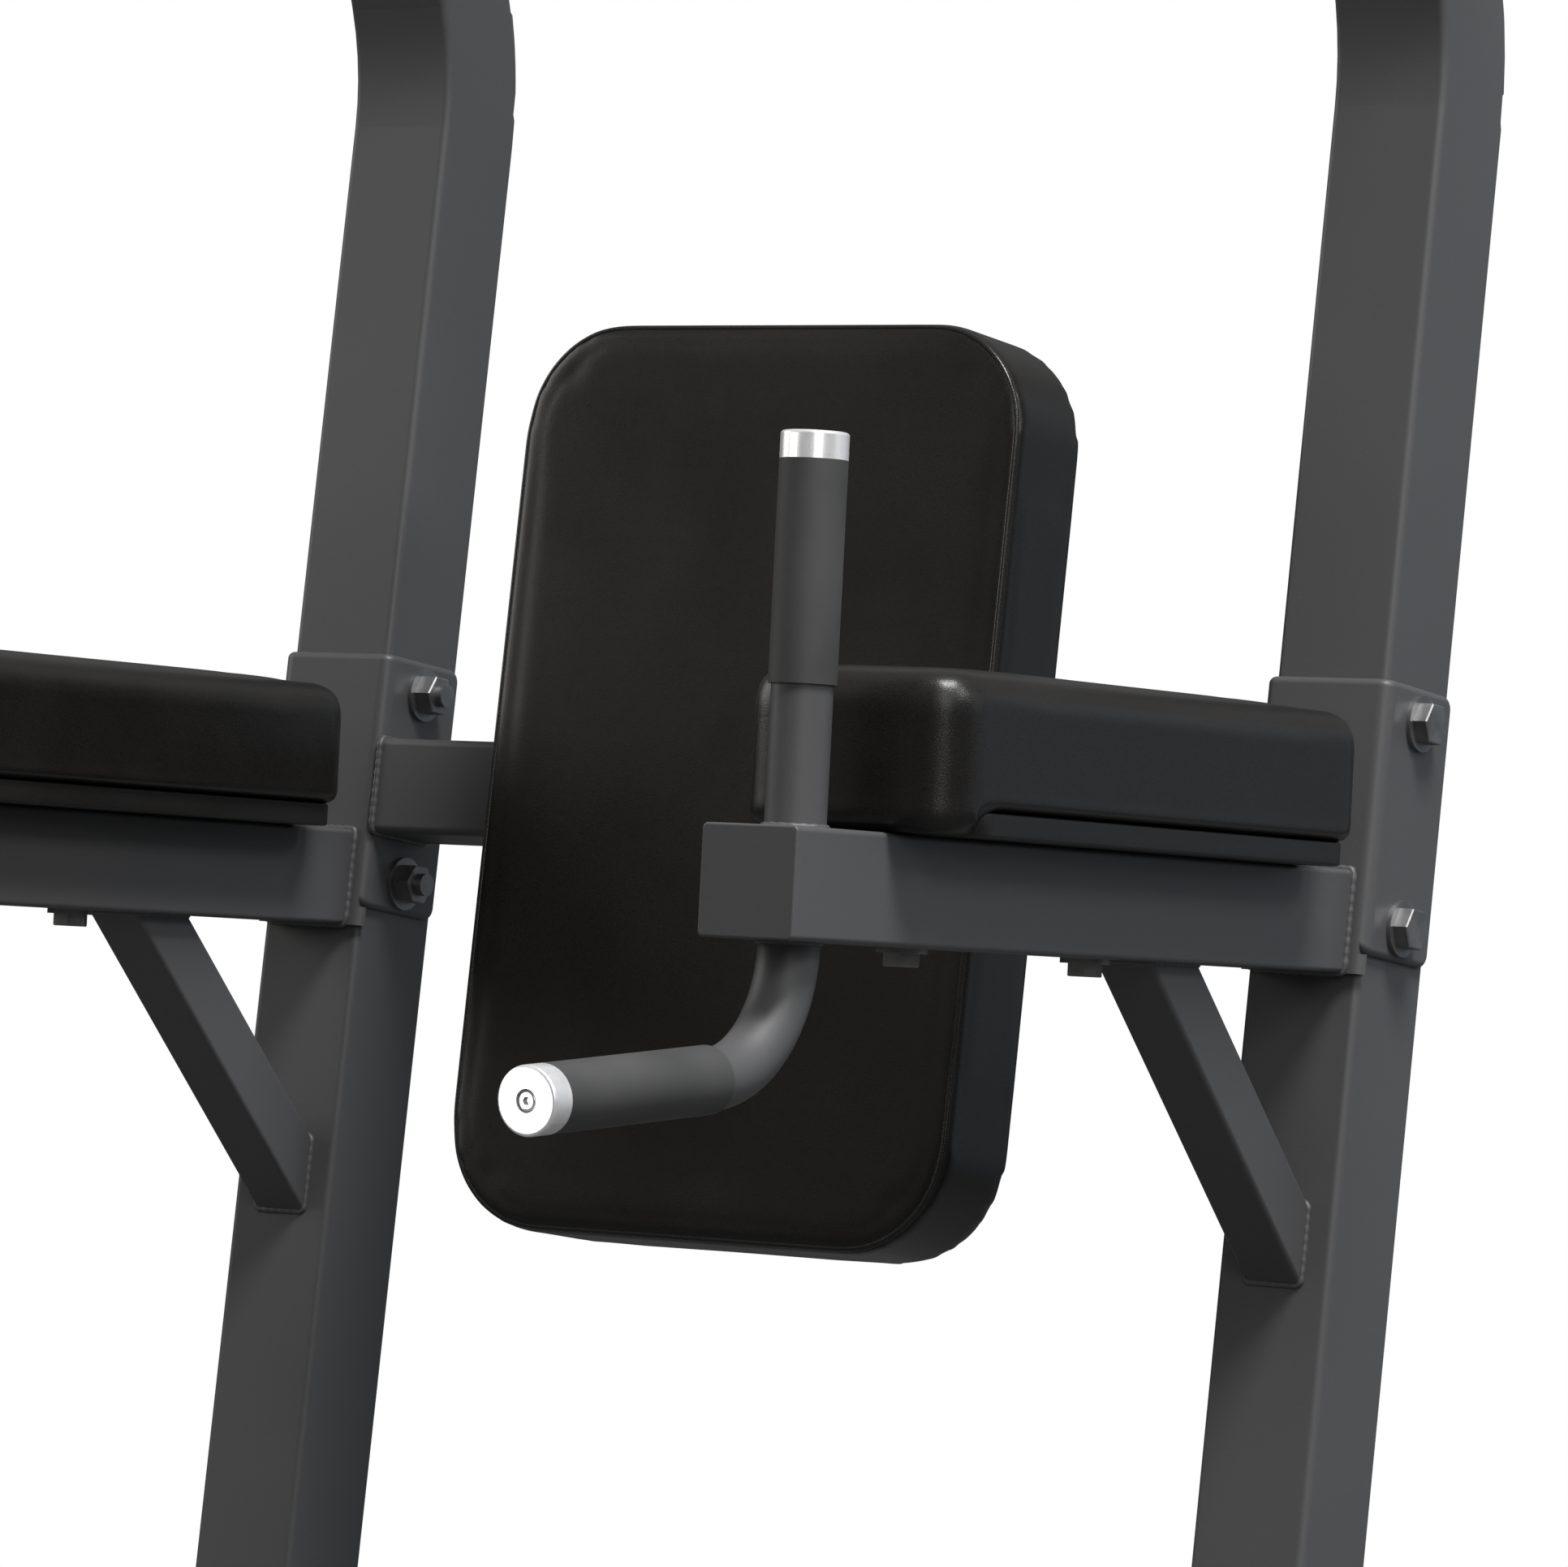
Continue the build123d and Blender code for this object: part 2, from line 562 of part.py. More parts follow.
with BuildPart() as bracket_bolts:
    for up in BOLT_UPS:
        add(hex_bolt(across_bracket(-1, FACE + WASHER, up), BOLT_D, 2 * FACE + 2 * WASHER + NUT_END))
    mirror(bracket_bolts.part, about=Plane.YZ)
save(bracket_bolts, "bracket_bolts")

with BuildPart() as bracket_washers:
    for up in BOLT_UPS:
        for side in (-1, 1):
            add(washer(across_bracket(side, FACE, up), BOLT_D))
    mirror(bracket_washers.part, about=Plane.YZ)
save(bracket_washers, "bracket_washers")

with BuildPart() as bracket_nuts:
    for up in BOLT_UPS:
        add(hex_nut(across_bracket(1, FACE + WASHER, up), BOLT_D))
    mirror(bracket_nuts.part, about=Plane.YZ)
save(bracket_nuts, "bracket_nuts")

# ================= pull-up bar =================
DROOP = sin(radians(BAR_DROOP))
DROOP_DIR = Vector(-cos(radians(BAR_DROOP)), -DROOP * sin(radians(BAR_FORWARD)), -DROOP * cos(radians(BAR_FORWARD)))
CORNER = Vector(-BAR_STRAIGHT, BAR_Y, BAR_Z)
BAR_TANGENT = BAR_BEND_R * tan(radians(BAR_DROOP / 2))
BAR_TIP = CORNER + DROOP_DIR * BAR_END
BAR_BEND_A = CORNER + Vector(BAR_TANGENT, 0, 0)
BAR_BEND_B = CORNER + DROOP_DIR * BAR_TANGENT


def flip(v):
    """The same point on the other side."""
    return Vector(-v.X, v.Y, v.Z)


with BuildPart() as pullup_bar:
    with BuildLine():
        left_end = Line(BAR_TIP, BAR_BEND_B)
        left_arc = TangentArc(BAR_BEND_B, BAR_BEND_A, tangent=DROOP_DIR * -1)
        middle = Line(BAR_BEND_A, flip(BAR_BEND_A))
        right_arc = TangentArc(flip(BAR_BEND_A), flip(BAR_BEND_B), tangent=(1, 0, 0))
        right_end = Line(flip(BAR_BEND_B), flip(BAR_TIP))
    with BuildSketch(Plane(origin=BAR_TIP, z_dir=DROOP_DIR * -1)):
        Circle(BAR_D / 2)
        Circle(BAR_D / 2 - BAR_WALL, mode=Mode.SUBTRACT)
    sweep()
save(pullup_bar, "pullup_bar")

TIP_CAP = Plane(origin=BAR_TIP, z_dir=DROOP_DIR)
BAR_BORE = BAR_D - 2 * BAR_WALL - 0.1
END_GRIP = BAR_END - BAR_TANGENT - 4
both_sides(round_tube(TIP_CAP.offset(-END_GRIP), BAR_GRIP_D, BAR_D, END_GRIP), "pullup_end_grips")
both_sides(end_cap(TIP_CAP, BAR_GRIP_D, BAR_BORE, CAP_LENGTH), "pullup_end_caps")
both_sides(cap_screw(TIP_CAP, CAP_LENGTH), "pullup_cap_screws")
CENTRE_GRIP = Plane(origin=(-CENTRE_GRIP_X, BAR_Y, BAR_Z), z_dir=(1, 0, 0))
both_sides(round_tube(CENTRE_GRIP, BAR_GRIP_D, BAR_D, CENTRE_GRIP_LENGTH), "pullup_centre_grips")

# ================= base =================
with BuildPart() as runner_left:
    nose = Plane(origin=(-MAST_X, RUNNER_FRONT, RUNNER_Z + HALF), x_dir=(1, 0, 0), z_dir=(0, 1, 0))
    add(rect_tube(nose, MAST, MAST, RUNNER_BACK - RUNNER_FRONT, MAST_WALL, MAST_CORNER))
    with BuildSketch(Plane.XY.offset(RUNNER_Z - 1)):
        with Locations((-MAST_X, RUNNER_FRONT + FOOT_INSET), (-MAST_X, RUNNER_BACK - FOOT_INSET)):
            Circle(STUD_D / 2 + 0.5)
    extrude(amount=MAST_WALL + 2, mode=Mode.SUBTRACT)
    with BuildSketch(Plane.XY.offset(RUNNER_Z - 1)):
        with Locations([(-MAST_X, y + FOOT_Y) for y in (-FOOT_BOLT_Y, FOOT_BOLT_Y)]):
            Circle(BOLT_D / 2 + BOLT_GAP)
    extrude(amount=MAST + 2, mode=Mode.SUBTRACT)
save(runner_left, "runner_left")

with BuildPart() as runner_right:
    mirror(runner_left.part, about=Plane.YZ)
save(runner_right, "runner_right")

with BuildPart() as runner_end_caps:
    for x in (-MAST_X, MAST_X):
        for y, way in ((RUNNER_FRONT, -1), (RUNNER_BACK, 1)):
            end = Plane(origin=(x, y, RUNNER_Z + HALF), x_dir=(1, 0, 0), z_dir=(0, way, 0))
            with BuildSketch(end):
                RectangleRounded(MAST, MAST, MAST_CORNER)
            extrude(amount=PLUG)
            with BuildSketch(end):
                RectangleRounded(MAST_BORE - 1, MAST_BORE - 1, 1.5)
            extrude(amount=-18)
    fillet(runner_end_caps.faces().sort_by(Axis.Y)[:2].edges(), 1.5)
    fillet(runner_end_caps.faces().sort_by(Axis.Y)[-2:].edges(), 1.5)
save(runner_end_caps, "runner_end_caps")

with BuildPart() as foot_plates:
    with BuildSketch(Plane.XY.offset(RUNNER_TOP)):
        for x in (-MAST_X, MAST_X):
            with Locations((x, FOOT_Y)):
                RectangleRounded(MAST, FOOT_PLATE_LENGTH, 6)
            with Locations([(x, y + FOOT_Y) for y in (-FOOT_BOLT_Y, FOOT_BOLT_Y)]):
                Circle(BOLT_D / 2 + BOLT_GAP, mode=Mode.SUBTRACT)
    extrude(amount=FOOT_PLATE)
save(foot_plates, "foot_plates")

FOOT_BOLTS = [(x, y + FOOT_Y) for x in (-MAST_X, MAST_X) for y in (-FOOT_BOLT_Y, FOOT_BOLT_Y)]
with BuildPart() as foot_plate_bolts:
    for x, y in FOOT_BOLTS:
        add(hex_bolt(Plane((x, y, MAST_FOOT + WASHER)), BOLT_D, MAST + FOOT_PLATE + 2 * WASHER + NUT_END))
save(foot_plate_bolts, "foot_plate_bolts")

with BuildPart() as foot_plate_washers:
    for x, y in FOOT_BOLTS:
        add(washer(Plane((x, y, MAST_FOOT)), BOLT_D))
        add(washer(Plane(origin=(x, y, RUNNER_Z), z_dir=(0, 0, -1)), BOLT_D))
save(foot_plate_washers, "foot_plate_washers")

with BuildPart() as foot_plate_nuts:
    for x, y in FOOT_BOLTS:
        add(hex_nut(Plane(origin=(x, y, RUNNER_Z - WASHER), z_dir=(0, 0, -1)), BOLT_D))
save(foot_plate_nuts, "foot_plate_nuts")

INNER_X = MAST_X - HALF
with BuildPart() as rear_cross_tube:
    across = Plane(origin=(-INNER_X, CROSS_Y, RUNNER_Z + HALF), x_dir=(0, 1, 0), z_dir=(1, 0, 0))
    add(rect_tube(across, ARM, ARM, 2 * INNER_X, ARM_WALL, 4.0))
save(rear_cross_tube, "rear_cross_tube")

with BuildPart() as lower_crossbar:
    centre = Vector(-INNER_X, LOWER_BAR_Z * tan(radians(LEAN)), LOWER_BAR_Z)
    across = Plane(origin=centre, x_dir=(0, COS, -SIN), z_dir=(1, 0, 0))
    add(rect_tube(across, ARM, ARM, 2 * INNER_X, ARM_WALL, 4.0))
save(lower_crossbar, "lower_crossbar")

MAST_REAR = Plane(origin=mast(0, HALF).origin, x_dir=(1, 0, 0), z_dir=(0, COS, -SIN))
with BuildPart() as stay_left:
    # square tube from the back of the runner up to the back of the upright
    low = Vector(-MAST_X, STAY_FOOT_Y, RUNNER_TOP)
    high = Vector(-MAST_X, STAY_TOP * tan(radians(LEAN)) + HALF, STAY_TOP)
    along = (high - low).normalized()
    low_end = Plane(origin=low - along * OVERCUT, x_dir=(1, 0, 0), z_dir=along)
    add(rect_tube(low_end, STAY, STAY, (high - low).length + 2 * OVERCUT, 2.0, 3.0))
    split(bisect_by=Plane.XY.offset(RUNNER_TOP), keep=Keep.TOP)
    split(bisect_by=MAST_REAR, keep=Keep.TOP)
save(stay_left, "stay_left")

with BuildPart() as stay_right:
    mirror(stay_left.part, about=Plane.YZ)
save(stay_right, "stay_right")

# ================= step pegs =================
PEG_Y = PEG_Z * tan(radians(LEAN))
PEG = Plane(origin=(-INNER_X, PEG_Y, PEG_Z), z_dir=(1, 0, 0))
both_sides(round_tube(PEG, BAR_D, BAR_D - 2 * BAR_WALL, PEG_LENGTH), "step_pegs")

with BuildPart() as peg_sleeve:
    # ribbed rubber sleeve, closed at its free end
    with BuildSketch(PEG.offset(SLEEVE_START)):
        Circle(BAR_D / 2 + SLEEVE_WALL)
        Circle(BAR_D / 2, mode=Mode.SUBTRACT)
    extrude(amount=PEG_LENGTH - SLEEVE_START)
    for i in range(RIBS):
        with BuildSketch(PEG.offset(SLEEVE_START + RIB_WIDTH + RIB_PITCH * i)):
            Circle(BAR_D / 2 + SLEEVE_WALL + RIB_HEIGHT)
            Circle(BAR_D / 2 + SLEEVE_WALL, mode=Mode.SUBTRACT)
        extrude(amount=RIB_WIDTH)
    with BuildSketch(PEG.offset(PEG_LENGTH)):
        Circle(BAR_D / 2 + SLEEVE_WALL)
    extrude(amount=SLEEVE_WALL)
both_sides(peg_sleeve.part, "step_peg_sleeves")

# ================= levelling feet =================
FEET = {
    "front_left": (-MAST_X, RUNNER_FRONT + FOOT_INSET),
    "front_right": (MAST_X, RUNNER_FRONT + FOOT_INSET),
    "rear_left": (-MAST_X, RUNNER_BACK - FOOT_INSET),
    "rear_right": (MAST_X, RUNNER_BACK - FOOT_INSET),
}

with BuildPart() as foot_lock_nuts:
    with BuildSketch(Plane.XY.offset(RUNNER_Z - LOCK_NUT_H)):
        for x, y in FEET.values():
            with Locations((x, y)):
                RegularPolygon(NUT_HEX / 2, 6, major_radius=False)
                Circle(STUD_D / 2 + RUN_GAP, mode=Mode.SUBTRACT)
    extrude(amount=LOCK_NUT_H)
save(foot_lock_nuts, "foot_lock_nuts")

with BuildPart() as foot_weld_nuts:
    with BuildSketch(Plane.XY.offset(RUNNER_Z + MAST_WALL)):
        for x, y in FEET.values():
            with Locations((x, y)):
                RegularPolygon(NUT_HEX / 2, 6, major_radius=False)
                Circle(STUD_D / 2 + RUN_GAP, mode=Mode.SUBTRACT)
    extrude(amount=WELD_NUT_H)
save(foot_weld_nuts, "foot_weld_nuts")

for corner, (x, y) in FEET.items():
    with BuildPart() as foot_pad:
        with BuildSketch(Plane((x, y, 0))):
            Circle(FOOT_PAD_D / 2)
        extrude(amount=FOOT_PAD_H)
        fillet(foot_pad.faces().sort_by(Axis.Z)[-1].edges(), 3)
        chamfer(foot_pad.faces().sort_by(Axis.Z)[0].edges(), 1)
    save(foot_pad, f"foot_pad_{corner}")

    with BuildPart() as foot_stud:
        with BuildSketch(Plane((x, y, FOOT_PAD_H))):
            Circle(FOOT_DISC_D / 2)
        extrude(amount=FOOT_DISC_H)
        with BuildSketch(Plane((x, y, FOOT_PAD_H + FOOT_DISC_H))):
            RegularPolygon(FOOT_HEX / 2, 6, major_radius=False)
        extrude(amount=FOOT_HEX_H)
        with BuildSketch(Plane((x, y, FOOT_PAD_H + FOOT_DISC_H + FOOT_HEX_H))):
            Circle(STUD_D / 2)
        extrude(amount=STUD_LENGTH)
    save(foot_stud, f"foot_stud_{corner}")
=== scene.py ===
"""Looks of the power tower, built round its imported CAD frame.  Everything is in metres."""

import json
import math

import bmesh
import bpy
from mathutils import Matrix, Vector, noise
from mathutils.bvhtree import BVHTree


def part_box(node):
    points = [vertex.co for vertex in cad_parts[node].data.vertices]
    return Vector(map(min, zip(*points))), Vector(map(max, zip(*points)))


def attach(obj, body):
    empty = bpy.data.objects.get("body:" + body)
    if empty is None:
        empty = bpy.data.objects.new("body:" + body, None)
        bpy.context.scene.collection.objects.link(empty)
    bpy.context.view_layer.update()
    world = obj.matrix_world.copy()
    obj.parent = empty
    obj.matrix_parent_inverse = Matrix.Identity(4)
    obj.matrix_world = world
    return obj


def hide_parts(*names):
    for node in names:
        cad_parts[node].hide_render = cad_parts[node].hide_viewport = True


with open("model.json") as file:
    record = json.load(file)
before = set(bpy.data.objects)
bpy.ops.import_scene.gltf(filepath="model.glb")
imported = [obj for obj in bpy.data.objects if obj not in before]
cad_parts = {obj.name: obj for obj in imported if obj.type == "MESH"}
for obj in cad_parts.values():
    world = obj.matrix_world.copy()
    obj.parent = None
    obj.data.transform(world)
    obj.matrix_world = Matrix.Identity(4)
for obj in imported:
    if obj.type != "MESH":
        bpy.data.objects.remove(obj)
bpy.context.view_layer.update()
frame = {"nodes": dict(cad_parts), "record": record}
NODES = frame["nodes"]
MM = 0.001

# ---- camera: a long lens that looks slightly up from the front right; angles in degrees ----
CAMERA_AT = Vector((2.2607, -3.2532, 1.1140))
CAMERA_AZIMUTH = 33.824
CAMERA_PITCH = 1.3836
CAMERA_ROLL = 2.940
CAMERA_LENS = 182.18  # millimetres, on a sensor 36 mm wide

# ---- studio ----
BACKDROP = 1.0  # what the camera sees behind the machine
SKY = 0.34  # what the machine is lit by and reflects, from above
GROUND = 0.05  # the same from below the horizon
FLOOR_BOUNCE = 0.12  # how much light the floor sends back up
FLOOR_TONE = 0.80  # the grey that the camera sees on it
FLOOR_GLOW = 0.62  # lifts the floor, for the camera only, to nearly white
FLOOR_FADE = (0.9, 2.6)  # it fades to white between these distances from the middle, in metres
FLOOR_HALF = 30.0
LIT_MIDDLE = Vector((0.0, 0.0, 1.2))  # every lamp looks at this point
# name, direction, distance and width in metres, power in watts, colour
LAMPS = (
    ("key", (0.50, -0.25, 1.0), 5.0, 1.5, 320.0, (1.0, 1.0, 1.0)),
    ("left", (-2.8, -0.9, 1.0), 4.0, 2.2, 38.0, (1.0, 0.98, 0.95)),
    ("front", (1.0, -1.0, 0.5), 5.0, 2.0, 38.0, (1.0, 1.0, 1.0)),
    ("side", (3.0, 1.2, 0.8), 3.8, 1.6, 5.0, (0.86, 0.91, 1.0)),
    ("cool", (0.60, 0.80, 0.15), 4.0, 3.0, 7.0, (0.72, 0.86, 1.0)),
    ("warm", (-0.54, -0.84, 0.20), 4.0, 3.0, 3.5, (1.0, 0.92, 0.82)),
    ("spark", (1.5, -0.1, 1.0), 3.8, 0.75, 28.0, (1.0, 1.0, 1.0)),
    ("back", (-0.6, 3.0, 0.5), 4.5, 2.4, 60.0, (1.0, 1.0, 1.0)),
)
# two cards that only the bright end caps answer to
CARDS = (
    ("card_left", (-0.55, -0.84, -0.08), 3.0, 1.6, 26.0, (1.0, 0.98, 0.95)),
    ("card_right", (0.72, -0.68, 0.10), 3.0, 1.1, 8.0, (0.98, 0.98, 1.0)),
)

# ---- frame geometry that the soft goods and welds follow ----
LEAN = math.radians(5.4)  # the uprights lean back by this much
UP = Vector((0.0, math.sin(LEAN), math.cos(LEAN)))  # along the uprights
AHEAD = Vector((0.0, -math.cos(LEAN), math.sin(LEAN)))  # out of their front faces
ACROSS = Vector((1.0, 0.0, 0.0))
UP_Z = Vector((0.0, 0.0, 1.0))
HANDLE_TUBE = 28 * MM
GRIP_OUTSIDE = 30.9 * MM

# ---- upholstery ----
VOXEL = 5 * MM
PRESSURE = 4.0
STIFF = 15.0  # of the cloth along its threads
CLOTH_FRAMES = 20
BOARD_START = 24 * MM  # the armrest cover hides the board up to here


# ================= small tools =================
def link(obj):
    """Put a new object in the scene."""
    bpy.context.scene.collection.objects.link(obj)
    return obj


def add_mesh(name, points, faces, material, smooth=40.0):
    """A new mesh object with its material, shaded smooth up to an angle in degrees."""
    mesh = bpy.data.meshes.new(name)
    mesh.from_pydata([tuple(p) for p in points], [], faces)
    mesh.validate()
    mesh.materials.append(material)
    shade(mesh, smooth)
    return link(bpy.data.objects.new(name, mesh))


def shade(mesh, angle):
    """Smooth shading, with sharp edges where two faces meet at more than the angle."""
    mesh.polygons.foreach_set("use_smooth", [True] * len(mesh.polygons))
    if angle < 180:
        mesh.set_sharp_from_angle(angle=math.radians(angle))


def put(piece, body="root"):
    """Let a piece ride on a body."""
    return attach(piece, body)


def frozen(obj):
    """The object's mesh with its modifiers applied."""
    graph = bpy.context.evaluated_depsgraph_get()
    graph.update()
    return bpy.data.meshes.new_from_object(obj.evaluated_get(graph))


def bake_modifiers(obj):
    """Apply every modifier and keep the result as the object's own mesh."""
    mesh = frozen(obj)
    obj.modifiers.clear()
    old = obj.data
    obj.data = mesh
    bpy.data.meshes.remove(old)


def basis(origin, right, up, out):
    """Matrix from a local frame to the row frame."""
    return Matrix.Translation(origin) @ Matrix((right, up, out)).transposed().to_4x4()


def local_box(node, turn):
    """Lowest and highest corners of a CAD node in a turned frame."""
    back = turn.inverted()
    points = [back @ v.co for v in NODES[node].data.vertices]
    low = Vector(min(p[i] for p in points) for i in range(3))
    high = Vector(max(p[i] for p in points) for i in range(3))
    return low, high


def outline(half_x, half_y, radius, steps=10):
    """Points round a rectangle with rounded corners."""
    points = []
    for corner in range(4):
        mid_x = (half_x - radius) * (1 if corner in (0, 3) else -1)
        mid_y = (half_y - radius) * (1 if corner < 2 else -1)
        for step in range(steps + 1):
            turn = math.pi / 2 * (corner + step / steps)
            x = mid_x + radius * math.cos(turn)
            y = mid_y + radius * math.sin(turn)
            points.append(Vector((x, y, 0.0)))
    return points


def resample(points, pitch):
    """Evenly spaced points along a closed loop."""
    loop = points + [points[0]]
    lengths = [(b - a).length for a, b in zip(loop, loop[1:])]
    total = sum(lengths)
    count = max(8, round(total / pitch))
    result, i, passed = [], 0, 0.0
    for k in range(count):
        goal = total * k / count
        while passed + lengths[i] < goal:
            passed += lengths[i]
            i += 1
        t = (goal - passed) / max(lengths[i], 1e-9)
        result.append(loop[i].lerp(loop[i + 1], t))
    return result


def cord(points, radius, sides=8):
    """Vertices and faces of a tube along a closed loop.

    The radius may be a function of the point's index.
    """
    count = len(points)
    middle = sum(points, Vector()) / count
    spokes = [p - middle for p in points]
    normal = sum((a.cross(b) for a, b in zip(spokes, spokes[1:])), Vector()).normalized()
    verts, faces = [], []
    for i, p in enumerate(points):
        along = (points[(i + 1) % count] - points[i - 1]).normalized()
        out = along.cross(normal).normalized()
        top = out.cross(along).normalized()
        r = radius(i) if callable(radius) else radius
        for k in range(sides):
            turn = 2 * math.pi * k / sides
            verts.append(p + (out * math.cos(turn) + top * math.sin(turn)) * r)
    for i in range(count):
        a, b = i * sides, (i + 1) % count * sides
        for k in range(sides):
            k2 = (k + 1) % sides
            faces.append((a + k, a + k2, b + k2, b + k))
    return verts, faces


def join(parts):
    """Several (vertices, faces) pairs as one."""
    verts, faces = [], []
    for v, f in parts:
        start = len(verts)
        verts += v
        faces += [tuple(i + start for i in face) for face in f]
    return verts, faces


class Nodes:
    """A short way to write a material's node tree."""

    def __init__(self, name):
        self.mat = bpy.data.materials.new(name)
        self.mat.use_nodes = True
        self.tree = self.mat.node_tree
        self.bsdf = self.tree.nodes["Principled BSDF"]
        self.coords = self.tree.nodes.new("ShaderNodeTexCoord").outputs["Object"]

    def add(self, kind, **inputs):
        """A node of this kind with its named inputs set to values or linked to sockets."""
        node = self.tree.nodes.new("ShaderNode" + kind)
        for key, value in inputs.items():
            self.put(node.inputs[key], value)
        return node

    def put(self, socket, value):
        """Link a socket, or set its default."""
        if isinstance(value, bpy.types.NodeSocket):
            self.tree.links.new(value, socket)
        else:
            socket.default_value = value

    def noise(self, scale, detail=2.0, roughness=0.5, coords=None):
        """Smooth noise; a larger scale makes it finer."""
        node = self.add("TexNoise", Vector=coords or self.coords, Scale=scale)
        node.inputs["Detail"].default_value = detail
        node.inputs["Roughness"].default_value = roughness
        return node.outputs["Fac"]

    def span(self, value, low, high, out_low, out_high):
        """Map a value from one range to another."""
        node = self.tree.nodes.new("ShaderNodeMapRange")
        for socket, v in zip(node.inputs, (value, low, high, out_low, out_high)):
            self.put(socket, v)
        return node.outputs[0]

    def math(self, operation, a, b=0.0):
        """One sum, product or power."""
        node = self.tree.nodes.new("ShaderNodeMath")
        node.operation = operation
        self.put(node.inputs[0], a)
        self.put(node.inputs[1], b)
        return node.outputs[0]

    def mix(self, fac, a, b):
        """Colour between a and b."""
        node = self.tree.nodes.new("ShaderNodeMix")
        node.data_type = "RGBA"
        self.put(node.inputs["Factor"], fac)
        self.put(node.inputs[6], a)
        self.put(node.inputs[7], b)
        return node.outputs[2]

    def bump(self, height, strength, distance, under=None):
        """Normals of a height map, on top of another bump if one is given."""
        node = self.add("Bump", Height=height, Strength=strength, Distance=distance)
        if under is not None:
            self.put(node.inputs["Normal"], under)
        return node.outputs["Normal"]

    def set(self, **inputs):
        """Set inputs of the surface shader."""
        for key, value in inputs.items():
            self.put(self.bsdf.inputs[key.replace("_", " ")], value)
        return self.mat


def grey(value, tint=(0.0, 0.0, 0.0)):
    """A linear colour near a grey."""
    return (value + tint[0], value + tint[1], value + tint[2], 1.0)


# ================= materials =================
def edge_wear(n, radius, power=1.0):
    """A mask that is 1 on sharp outer edges."""
    bevel = n.add("Bevel", Radius=radius)
    bevel.samples = 4
    geometry = n.tree.nodes.new("ShaderNodeNewGeometry")
    dot = n.tree.nodes.new("ShaderNodeVectorMath")
    dot.operation = "DOT_PRODUCT"
    n.put(dot.inputs[0], bevel.outputs["Normal"])
    n.put(dot.inputs[1], geometry.outputs["Normal"])
    return n.math("POWER", n.span(dot.outputs["Value"], 0.995, 0.80, 0.0, 1.0), power)


def powder_coat():
    """Satin charcoal powder coat: fine orange peel, faint mottling and slightly rubbed edges."""
    n = Nodes("powder_coat")
    cloud = n.noise(3.0, 3.0)
    fine = n.noise(900.0, 2.0)
    peel = n.noise(260.0, 2.0)
    patches = n.span(cloud, 0.3, 0.7, 0.0, 1.0)
    base = n.mix(patches, grey(0.062, (0, 0, 0.002)), grey(0.076, (0, 0, 0.003)))
    speck = n.mix(n.span(fine, 0.62, 0.75, 0.0, 0.35), base, grey(0.11))
    rubbed = n.span(n.noise(40.0, 4.0), 0.45, 0.7, 0.0, 0.5)
    worn = n.math("MULTIPLY", edge_wear(n, 1.5 * MM), rubbed)
    colour = n.mix(worn, speck, grey(0.13))
    rough = n.span(cloud, 0.3, 0.7, 0.42, 0.52)
    normal = n.bump(peel, 0.10, 0.4 * MM, n.bump(fine, 0.05, 0.15 * MM))
    return n.set(Base_Color=colour, Roughness=rough, Normal=normal, Specular_IOR_Level=0.5)


def vinyl(name, lift, gloss):
    """Black upholstery vinyl: fine pebbled grain, with painted shade in its grooves, and a soft
    sheen.

    lift brightens it and gloss is its roughness.
    """
    n = Nodes(name)
    grain = n.add("TexVoronoi", Vector=n.coords, Scale=780.0)
    grain.feature = "DISTANCE_TO_EDGE"
    cells = n.span(grain.outputs["Distance"], 0.0, 0.16, 0.0, 1.0)
    wide = n.noise(14.0, 4.0)
    warm = (0.0024, 0.0010, 0)
    patches = n.span(wide, 0.3, 0.7, 0.0, 1.0)
    colour = n.mix(patches, grey(0.0060 * lift, warm), grey(0.0088 * lift, warm))
    # painted shade: the grooves between the grain's pebbles are darkened in the colour
    groove_shade = n.mix(cells, grey(0.004 * lift), colour)
    rough = n.span(wide, 0.3, 0.7, gloss, gloss + 0.08)
    normal = n.bump(cells, 0.14, 0.2 * MM, n.bump(n.noise(45.0, 3.0), 0.05, 1.0 * MM))
    return n.set(Base_Color=groove_shade, Roughness=rough, Normal=normal, Specular_IOR_Level=0.42)


def rubber(name, value):
    """Matte moulded rubber."""
    n = Nodes(name)
    wide = n.noise(22.0, 3.0)
    colour = n.mix(n.span(wide, 0.3, 0.7, 0.0, 1.0), grey(value * 0.85), grey(value * 1.15))
    normal = n.bump(n.noise(420.0, 2.0), 0.18, 0.3 * MM)
    return n.set(Base_Color=colour, Roughness=n.span(wide, 0.3, 0.7, 0.55, 0.68), Normal=normal)


def turned_aluminium():
    """Satin aluminium with fine turning marks."""
    n = Nodes("turned_aluminium")
    marks = n.noise(1600.0, 2.0)
    wide = n.noise(60.0, 3.0)
    cold = (0, 0, 0.01)
    colour = n.mix(n.span(wide, 0.3, 0.7, 0.0, 1.0), grey(0.74, cold), grey(0.86, cold))
    rough = n.span(wide, 0.3, 0.7, 0.24, 0.32)
    normal = n.bump(marks, 0.08, 0.1 * MM)
    return n.set(Base_Color=colour, Metallic=0.55, Roughness=rough, Normal=normal)


